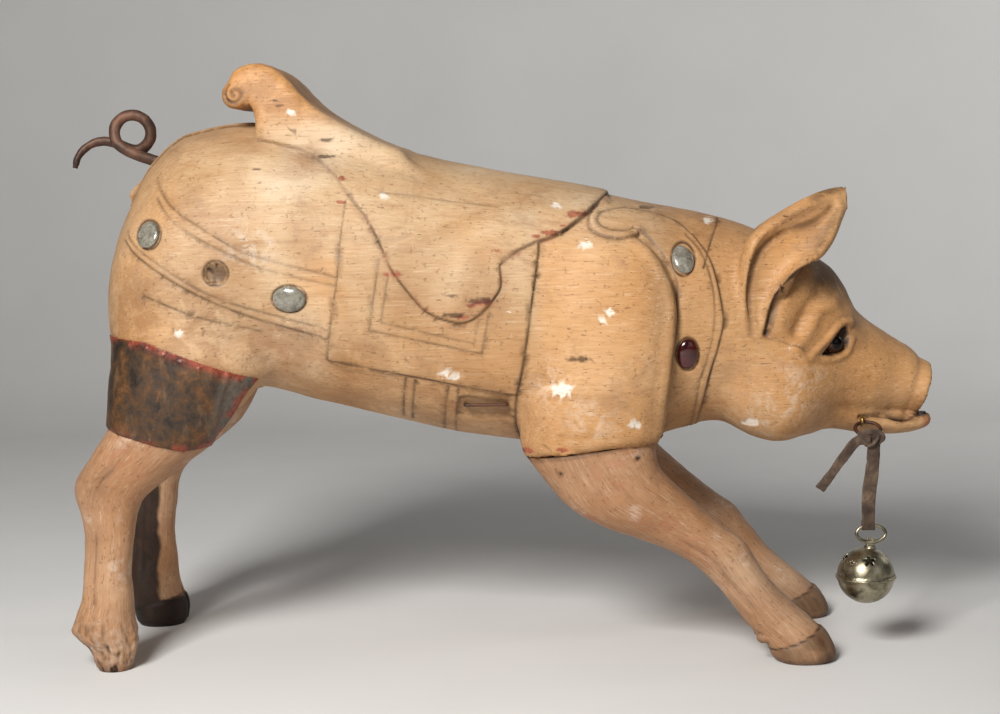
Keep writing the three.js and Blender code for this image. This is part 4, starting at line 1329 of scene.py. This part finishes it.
def add_body():
    def onto(p):
        return settle(pig, p, 2)

    points, faces = surface_net(pig, (-462, -170, 222), (506, 170, 690), 7.0)
    for _ in range(2):
        points = onto(0.5 * points + 0.5 * neighbour_mean(points, faces))
    for _ in range(3):
        points, faces = refine(points, faces, wanted_edge, onto)
    root = (points[:, 0] > SNOUT_ROOT[0]) & (points[:, 0] < SNOUT_ROOT[1]) & (points[:, 2] > 272)
    for _ in range(14):
        points = np.where(root[:, None], neighbour_mean(points, faces), points)
    normals = point_normals(points, faces)
    height, dirt_and_shade = carve(points, normals)
    face_height, face_dirt_and_shade = carve_face(points, normals)
    on_face = points[:, 0] > 285
    height += np.where(on_face, face_height, 0)
    dirt_and_shade = np.maximum(dirt_and_shade, np.where(on_face, face_dirt_and_shade, 0))
    height += 0.55 * lumps(points, 34, 21) + 0.22 * lumps(points, 9, 22)
    height -= 0.7 * marks(points, PALE_CHIPS, 0.65)
    points = points + normals * height[:, None]
    normals = point_normals(points, faces)
    colours = body_colours(points, dirt_and_shade, normals, faces)
    return make_object("carved_body", points, faces, body_wood, ["pig_body"], colours)


add_body()


# The legs

TOE_PAINT = (359, 15)


def limb_rings(rows, y, side, stride, step, around):
    """Rings of a leg about the same distance apart, and for each ring its place along the leg."""
    rows = np.array(rows, float)
    top, fall = rows[0, 1], rows[0, 1] - rows[-1, 1]
    rows[:, 0] += stride * (top - rows[:, 1]) / fall
    fine = smooth_rows(rows, 24)
    run = np.concatenate([[0], np.cumsum(np.hypot(*np.diff(fine[:, :2], axis=0).T))])
    places = np.linspace(0, run[-1], int(run[-1] / step))
    fine = np.stack([np.interp(places, run, column) for column in fine.T], 1)
    turn = 2 * math.pi * np.arange(around) / around
    c, s = np.cos(turn), np.sin(turn)
    reach = (np.abs(c) ** 2.2 + np.abs(s) ** 2.2) ** (-1 / 2.2)
    rings = []
    local = []
    for (x, z, lean, deep, wide, _), place in zip(fine, places):
        lean = math.radians(lean)
        along = deep * reach * s
        over = wide * reach * c
        rings.append(np.stack([x + along * math.cos(lean), side * y + over, z + along * math.sin(lean)], 1))
        local.append(np.stack([np.full(around, place), over, along], 1))
    return rings, np.concatenate(local)


def add_leg(name, rows, y, side, stride, node, shape):
    rings, local = limb_rings(rows, y, side, stride, 2.6, 112)
    points, faces = tube_mesh(rings)
    local = np.concatenate([local, [[0, 0, 0]], [local[-1] * [1, 0, 0]]])
    normals = point_normals(points, faces)
    from_sole = local[:, 0].max() - local[:, 0]
    height, dirt_and_shade, hoof = shape(points, local, from_sole, side)
    ragged = smoothstep(85, 25, from_sole) if name == "right_hind_limb" else 0.0
    rough = 0.55 * lumps(points, 26, 31 + side) + 0.3 * lumps(points, 8, 33 + side)
    rough += ragged * (2.2 * lumps(points * [1, 1, 0.35], 9, 51) + 1.3 * lumps(points, 4, 52))
    if name == "right_hind_limb":
        taper = 0.34 * smoothstep(52, 2, from_sole)
        points[:, 0] -= taper * local[:, 2]
        points[:, 1] -= taper * local[:, 1]
        dirt_and_shade = np.maximum(dirt_and_shade, 0.7 * ragged * smoothstep(0.3, 0.55, lumps(points * [1, 1, 0.25], 5, 53)))
        hoof = np.zeros(len(points))
    lower = smoothstep(1.0, 6.0, points[:, 2])
    height = (height + rough) * lower
    points = points + normals * height[:, None]
    points[:, 2] = np.maximum(points[:, 2], 0)
    normals = point_normals(points, faces)
    cavity = hollowness(points, faces, normals, 4)
    sole = smoothstep(16, 0, points[:, 2])
    # Painted shade in the leg's hollows, and real grime towards the sole.
    dirt_and_shade = np.clip(dirt_and_shade + 0.6 * smoothstep(0.15, 0.9, cavity) + 0.5 * sole, 0, 1)
    paint = np.zeros(len(points))
    # Old dark paint on the hoof, and painted shade on the inner side, which faces the near leg.
    if name == "left_hind_limb":
        edge = 4 * lumps(points, 9, 45)
        inside = smoothstep(-6, 2, edge - local[:, 1]) * smoothstep(15, 9, local[:, 2] + edge)
        inside *= smoothstep(235, 205, from_sole + 3 * edge)
        paint = 0.96 * np.maximum(inside, smoothstep(38, 34, from_sole))
    toe = np.hypot(points[:, 0] - TOE_PAINT[0], points[:, 2] - TOE_PAINT[1])
    red = 0.25 * smoothstep(0.2, 0.6, lumps(points, 40, 35))
    if name == "right_fore_limb":
        red = np.maximum(red, 0.9 * smoothstep(24, 8, toe))
    colours = {
        "dirt_and_shade": dirt_and_shade, "red": red, "hoof": hoof, "dark_paint_and_shade": paint,
        "stain_and_shade": np.clip(0.5 + 0.5 * lumps(points, 60, 37), 0, 1) * 0.45,
        "pale": 0.3 * smoothstep(0.35, 0.7, lumps(points, 30, 39)) + 0.2 * ragged,
        "warm": np.clip(0.25 + 0.4 * lumps(points, 70, 38), 0, 1),
        "grain": local * MM + [0, 0, 0.3 * side],
    }
    return make_object(name, points, faces, leg_wood, [node], colours)


def hoof_shape(points, local, from_sole, side, coronet):
    """A cloven hoof: a step at the coronet, a cleft in front, and two dew claws behind."""
    across, along = local[:, 1], local[:, 2]
    horn = smoothstep(coronet + 1.5, coronet - 1.5, from_sole - 0.22 * along)
    height = 1.8 * horn
    front = smoothstep(4, 20, along)
    cleft = hump(across, 2.6) * front * smoothstep(coronet + 22, coronet + 4, from_sole)
    height -= 6.0 * cleft
    heel = hump(across, 4.5) * smoothstep(-8, -20, along) * smoothstep(coronet + 14, coronet, from_sole)
    height -= 3.0 * heel
    # Grime and painted shade in the cleft and behind the heel.
    dirt_and_shade = 0.9 * cleft + 0.5 * heel
    edge = hump(from_sole - 0.22 * along - coronet, 1.5)
    height -= 0.9 * edge
    dirt_and_shade = np.maximum(dirt_and_shade, 0.7 * edge)
    for sign in (-1, 1):
        claw = np.hypot((from_sole - coronet - 16) / 11, (across - sign * 15) / 8)
        claw = smoothstep(1.0, 0.25, claw) * smoothstep(2, -10, along)
        height += 6.0 * claw
        dirt_and_shade = np.maximum(dirt_and_shade, 0.4 * claw)
    worn = smoothstep(0.1, 0.6, lumps(points, 13, 43 + side))
    return height, dirt_and_shade, horn * (0.75 - 0.4 * worn)


def fore_shape(points, local, from_sole, side):
    height, dirt_and_shade, hoof = hoof_shape(points, local, from_sole, side, 27)
    across, along = local[:, 1], local[:, 2]
    outer = across * side
    muscle = hump(from_sole - 250, 70)
    height += 3.0 * muscle * hump(along + 4, 22) * smoothstep(-4, 20, np.abs(across))
    tendon = hump(along + 9, 4.5) * smoothstep(60, 90, from_sole) * smoothstep(215, 170, from_sole)
    height -= 2.2 * tendon
    knee = hump(from_sole - 128, 20) * smoothstep(4, 22, along)
    height += 2.5 * knee
    # A dark joint at the top end, and painted shade along the tendon.
    dirt_and_shade = np.maximum(dirt_and_shade, 0.7 * smoothstep(5, 0, local[:, 0]) + 0.15 * tendon)
    for x, z in ((68, 218), (152, 234)):
        dowel = np.hypot(points[:, 0] - x, points[:, 2] - z) * np.where(outer > 0, 1, 99)
        height -= 1.5 * hump(dowel, 3)
        dirt_and_shade = np.maximum(dirt_and_shade, 0.9 * hump(dowel, 3))
    return height, dirt_and_shade, hoof


def hind_shape(points, local, from_sole, side):
    height, dirt_and_shade, hoof = hoof_shape(points, local, from_sole, side, 30)
    if side == RIGHT:
        worn = smoothstep(62, 40, from_sole)
        height *= 1 - 0.85 * worn
        dirt_and_shade *= 1 - 0.8 * worn
    across, along = local[:, 1], local[:, 2]
    hock = hump(from_sole - 205, 26) * smoothstep(0, -30, along)
    height += 3.0 * hock
    hollow = hump(along + 14, 7) * hump(from_sole - 225, 36)
    height -= 2.6 * hollow * smoothstep(4, 18, np.abs(across))
    tendon = hump(along + 10, 4) * smoothstep(60, 85, from_sole) * smoothstep(190, 150, from_sole)
    height -= 2.0 * tendon
    # Painted shade in the hollow at the back of the leg and along the tendon.
    dirt_and_shade = np.maximum(dirt_and_shade, 0.25 * hollow + 0.15 * tendon)
    return height, dirt_and_shade, hoof


for word, side in (("right", RIGHT), ("left", LEFT)):
    stride = 0 if side == RIGHT else LEFT_FORE_STRIDE
    add_leg(f"{word}_fore_limb", FORE_LEG, FORE_LEG_Y, side, stride, f"{word}_fore_leg", fore_shape)
    stride = 0 if side == RIGHT else LEFT_HIND_STRIDE
    add_leg(f"{word}_hind_limb", HIND_LEG, HIND_LEG_Y, side, stride, f"{word}_hind_leg", hind_shape)


# The sheet metal on the right thigh

SLEEVE_OUTLINE = [
    (-452, 378), (-417, 376), (-377, 372), (-349, 361), (-294, 339), (-262, 327), (-276, 310), (-300, 275),
    (-321, 253), (-347, 251), (-413, 267), (-452, 275),
]
SLEEVE_INNER_Y = -100
SLEEVE_SHEET = 1.3
SLEEVE_FOLD = [(-290, 335), (-318, 256)]


def add_sleeve():
    """A sheet bent round the thigh: a surface just outside the wood, cut to its outline and thickened."""
    def outside(p):
        return thigh(p) - 0.5 - SLEEVE_SHEET

    def onto(p):
        return settle(outside, p, 2)

    def cut(p):
        return np.maximum(step_in(p[:, [0, 2]], SLEEVE_OUTLINE, 20), p[:, 1] - SLEEVE_INNER_Y)

    points, faces = surface_net(outside, (-470, -180, 236), (-240, -84, 392), 4.0)
    points = onto(points)
    for _ in range(2):
        points, faces = refine(points, faces, lambda p: np.where(np.abs(cut(p)) < 4, 1.6, 4.5), onto)
    keep = (cut(points)[faces] < 0.4).all(1)
    faces = faces[keep]
    used, back = np.unique(faces, return_inverse=True)
    points, faces = points[used], back.reshape(-1, 3)
    normals = point_normals(points, faces)
    flat = points[:, [0, 2]]
    fold = line_distance(flat, SLEEVE_FOLD, 40)
    rim = -cut(points)
    dents = 0.9 * lumps(points, 30, 61) + 0.35 * lumps(points, 9, 62)
    height = 0.9 + np.maximum(dents, -0.7) + 2.0 * hump(fold, 3)
    nails = np.zeros(len(points))
    for line, count in ((SLEEVE_OUTLINE[1:6], 9), (SLEEVE_OUTLINE[8:11], 6)):
        for x, z in even_route(line, count)[:, :2]:
            inset = -7 if z > 300 else 7
            head = np.hypot(flat[:, 0] - x, flat[:, 1] - z - inset)
            nails = np.maximum(nails, smoothstep(3.2, 1.6, head))
    height += 1.1 * nails
    outer = points + normals * height[:, None]
    inner = outer - normals * SLEEVE_SHEET
    ends = np.concatenate([faces[:, [0, 1]], faces[:, [1, 2]], faces[:, [2, 0]]])
    key = np.sort(ends, axis=1)
    _, first, count = np.unique(key, axis=0, return_index=True, return_counts=True)
    border = ends[first[count == 1]]
    more = len(outer)
    wall = np.concatenate([
        np.stack([border[:, 1], border[:, 0], border[:, 0] + more], 1),
        np.stack([border[:, 1], border[:, 0] + more, border[:, 1] + more], 1),
    ])
    all_points = np.concatenate([outer, inner])
    all_faces = np.concatenate([faces, faces[:, ::-1] + more, wall])
    red = hump(rim, 6.5) * smoothstep(-0.45, 0.25, lumps(points, 11, 63))
    front = smoothstep(-312, -292, flat[:, 0] + 0.33 * (300 - flat[:, 1]))
    colours = {"red": np.tile(red, 2), "grey": np.tile(front, 2)}
    return make_object(
        "nailed_thigh_sheet", all_points, all_faces, thigh_metal, ["thigh_sleeve"], colours)


add_sleeve()


# Iron tail and staple

TAIL_RADIUS = 6.5
TAIL_TIP_RADIUS = 3.6
TAIL_CURL = (-416, 600)
TAIL_CURL_RADIUS = 20


def add_tail():
    points = [(-362, 0, 553), (-388, -2, 566), (-410, -6, 574)]
    for k in range(10):
        angle = math.radians(225 - 320 * k / 9)
        points.append((
            TAIL_CURL[0] + TAIL_CURL_RADIUS * math.cos(angle), -7 + 16 * k / 9,
            TAIL_CURL[1] + TAIL_CURL_RADIUS * math.sin(angle),
        ))
    points += [(-440, 11, 589), (-456, 9, 591), (-471, 6, 585), (-481, 3, 574), (-485, 2, 561)]

    def section(t):
        radius = TAIL_RADIUS + (TAIL_TIP_RADIUS - TAIL_RADIUS) * max(0.0, (t - 0.72) / 0.28)
        return circle(radius * (1 if t < 0.985 else 0.8), 22, 0.92)

    rings = sweep(even_route(points, 170), section)
    skin, faces = tube_mesh(rings)
    normals = point_normals(skin, faces)
    skin = skin + normals * (0.45 * lumps(skin, 8, 81) + 0.2 * lumps(skin, 2.6, 82))[:, None]
    return make_object("curled_tail", skin, faces, tail_iron, ["iron_tail"])


def add_staple():
    """A flat iron bar driven into the wood at both ends."""
    low, high = (np.array(v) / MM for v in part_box("girth_staple"))
    out = low[1] + 2.6
    deep = high[1] - 2
    z = (low[2] + high[2]) / 2
    left, right = low[0] + 2.4, high[0] - 2.4
    points = [
        (left, deep, z), (left, out + 3.5, z), (left + 1, out + 0.8, z), (left + 4, out, z),
        ((left + right) / 2, out - 0.4, z), (right - 4, out, z), (right - 1, out + 0.8, z),
        (right, out + 3.5, z), (right, deep, z),
    ]
    rings = sweep(even_route(points, 80), lambda t: strap_section(5.2, 3.4, 0.0), up=(0, 0, 1))
    skin, faces = tube_mesh(rings)
    skin = skin + point_normals(skin, faces) * (0.25 * lumps(skin, 4, 85))[:, None]
    return make_object("iron_staple", skin, faces, fitting_iron, ["girth_staple"])


add_tail()
add_staple()


# Eyes and jewels

def dome(centre, facing, half, profile, around=40, facets=0):
    """A dome standing on a surface: rings from the foot to the crown, given as share of width and height."""
    facing = facing / np.linalg.norm(facing)
    across = np.cross([0, 0, 1], facing)
    across /= np.linalg.norm(across)
    up = np.cross(facing, across)
    turn = 2 * math.pi * np.arange(around) / around
    rings = []
    for share, lift in profile:
        reach = share * np.ones(around)
        if facets:
            reach = share / np.cos((turn % (2 * math.pi / facets)) - math.pi / facets)
            reach *= math.cos(math.pi / facets)
        ring = (
            centre + (half[0] * reach * np.cos(turn))[:, None] * across
            + (half[1] * reach * np.sin(turn))[:, None] * up + lift * facing
        )
        rings.append(ring)
    return tube_mesh(rings)


def surface_facing(p):
    probe = 1.0
    p = np.array([p])
    return np.array([(pig(p + probe * e) - pig(p - probe * e))[0] for e in np.eye(3)])


def node_middle(node):
    low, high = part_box(node)
    return np.array((low + high) / 2) / MM


STONE_LIFT = 1.2


def add_jewel(name, node, place, thick, material, flat_top):
    _, _, across, up = place
    centre = node_middle(node)
    facing = surface_facing(centre)
    facing /= np.linalg.norm(facing)
    while pig(centre[None])[0] < STONE_LIFT:
        centre = centre + [0, 0.25 * np.sign(centre[1]), 0]
    t = np.linspace(0, 1, 9)[:-1]
    if flat_top:
        crown = [(1 - 0.12 * s ** 3, thick * 0.75 * s) for s in t]
        crown += [(0.7, thick * 0.82), (0.3, thick * 0.86)]
    else:
        crown = [(math.cos(s * math.pi / 2), thick * math.sin(s * math.pi / 2)) for s in t]
        crown.append((0.06, thick))
    profile = [(0.75, -0.8 * thick), (0.97, -0.35 * thick)] + crown
    points, faces = dome(centre, facing, (across, up), profile)
    points = points + point_normals(points, faces) * (0.22 * lumps(points, 6, 91))[:, None]
    return make_object(name, points, faces, material, [node])


def add_eye(word, side):
    """A black glass eye, a ball with a slightly raised front."""
    facing = np.array([0.5, 0.86 * side, 0.1])
    start = np.array([EYE_X, 30.0 * side, EYE_Z])
    while pig(start[None])[0] < 0:
        start[1] += 0.5 * side
    centre = start - EYE_INSET * facing
    turn = np.linspace(0.02, math.pi - 0.02, 40)
    profile = [
        (math.sin(a), -EYE_RADIUS * math.cos(a) + 0.8 * smoothstep(0.55, 0.95, -math.cos(a))) for a in turn
    ]
    points, faces = dome(centre, facing, (EYE_RADIUS, EYE_RADIUS), profile, 48)
    ahead = (points - centre) @ (facing / np.linalg.norm(facing)) / EYE_RADIUS
    colours = {"pupil": smoothstep(0.8, 0.86, ahead)}
    return make_object(f"{word}_glass_eye", points, faces, black_glass, [f"{word}_eye"], colours)


for word, side in (("right", RIGHT), ("left", LEFT)):
    add_eye(word, side)
    for name, place, thick, flat_top in (
        ("crupper_front_jewel", BAND_FRONT, 6, False), ("crupper_rear_jewel", BAND_REAR, 4, True),
        ("collar_upper_jewel", COLLAR_UPPER, 5.5, False),
    ):
        node = f"{word}_{name}"
        add_jewel(f"{node}_stone", node, place, thick, clear_glass, flat_top)
    add_jewel(
        f"{word}_collar_lower_jewel_stone", f"{word}_collar_lower_jewel", COLLAR_LOWER, 6, red_glass,
        False)
add_jewel(
    "left_crupper_middle_jewel_stone", "left_crupper_middle_jewel", BAND_MIDDLE, 6, clear_glass,
    False)


# Floor, backdrop and light

def paper(name):
    """Pale paper that is clear from behind, so that the pig is also seen from the backdrop's side."""
    f = Finish(name, Specular_IOR_Level=0.2)
    behind = f.node("NewGeometry").outputs["Backfacing"]
    f.put(f.shader.inputs["Alpha"], f.math("SUBTRACT", 1.0, behind))
    fine = f.noise(f.place(), 3.0, 3.0, 0.5)
    return f.finish(f.ramp(fine, [(0.3, "d9d8d6"), (0.7, "dedddb")]), 0.85)


def add_stage():
    """A pale floor that sweeps up into a backdrop."""
    reach, bend, height, half = 1.7, 0.9, 3.2, 5.0
    profile = [(-4.0, 0.0), (reach, 0.0)]
    for a in np.linspace(0, math.pi / 2, 14)[1:]:
        profile.append((reach + bend * math.sin(a), bend * (1 - math.cos(a))))
    profile.append((reach + bend, height))
    points = [(x, y, z) for y, z in profile for x in (-half, half)]
    faces = [(2 * k, 2 * k + 1, 2 * k + 3, 2 * k + 2) for k in range(len(profile) - 1)]
    mesh = bpy.data.meshes.new("studio_paper")
    mesh.from_pydata(points, [], faces)
    mesh.shade_smooth()
    mesh.materials.append(paper("pale_paper"))
    stage = bpy.data.objects.new("studio_paper", mesh)
    bpy.context.scene.collection.objects.link(stage)


def add_light(name, place, target, size, power, tint=(1.0, 1.0, 1.0)):
    data = bpy.data.lights.new(name, "AREA")
    data.shape = "RECTANGLE"
    data.size, data.size_y = size
    data.energy = power
    data.color = tint
    light = bpy.data.objects.new(name, data)
    light.location = place
    light.rotation_euler = (Vector(target) - Vector(place)).to_track_quat("-Z", "Y").to_euler()
    bpy.context.scene.collection.objects.link(light)


def add_lights():
    add_light("key", (-0.8, -2.08, 1.68), (0, 0, 0.3), (0.8, 0.8), 91, (1.0, 0.985, 0.965))
    add_light("fill", (2.0, -2.2, 1.3), (0, 0, 0.3), (1.6, 1.6), 4)
    add_light("top", (0.1, 0.1, 2.4), (0, 0, 0), (1.2, 0.8), 2)
    add_light("backdrop", (2.4, 0.9, 1.4), (1.4, 2.6, 0.9), (0.8, 0.8), 16)
    world = bpy.data.worlds.new("studio")
    world.use_nodes = True
    background = world.node_tree.nodes["Background"]
    background.inputs["Color"].default_value = (0.9, 0.92, 0.95, 1)
    background.inputs["Strength"].default_value = 0.055
    bpy.context.scene.world = world
    bpy.context.scene.view_settings.view_transform = "Standard"


add_stage()
add_lights()
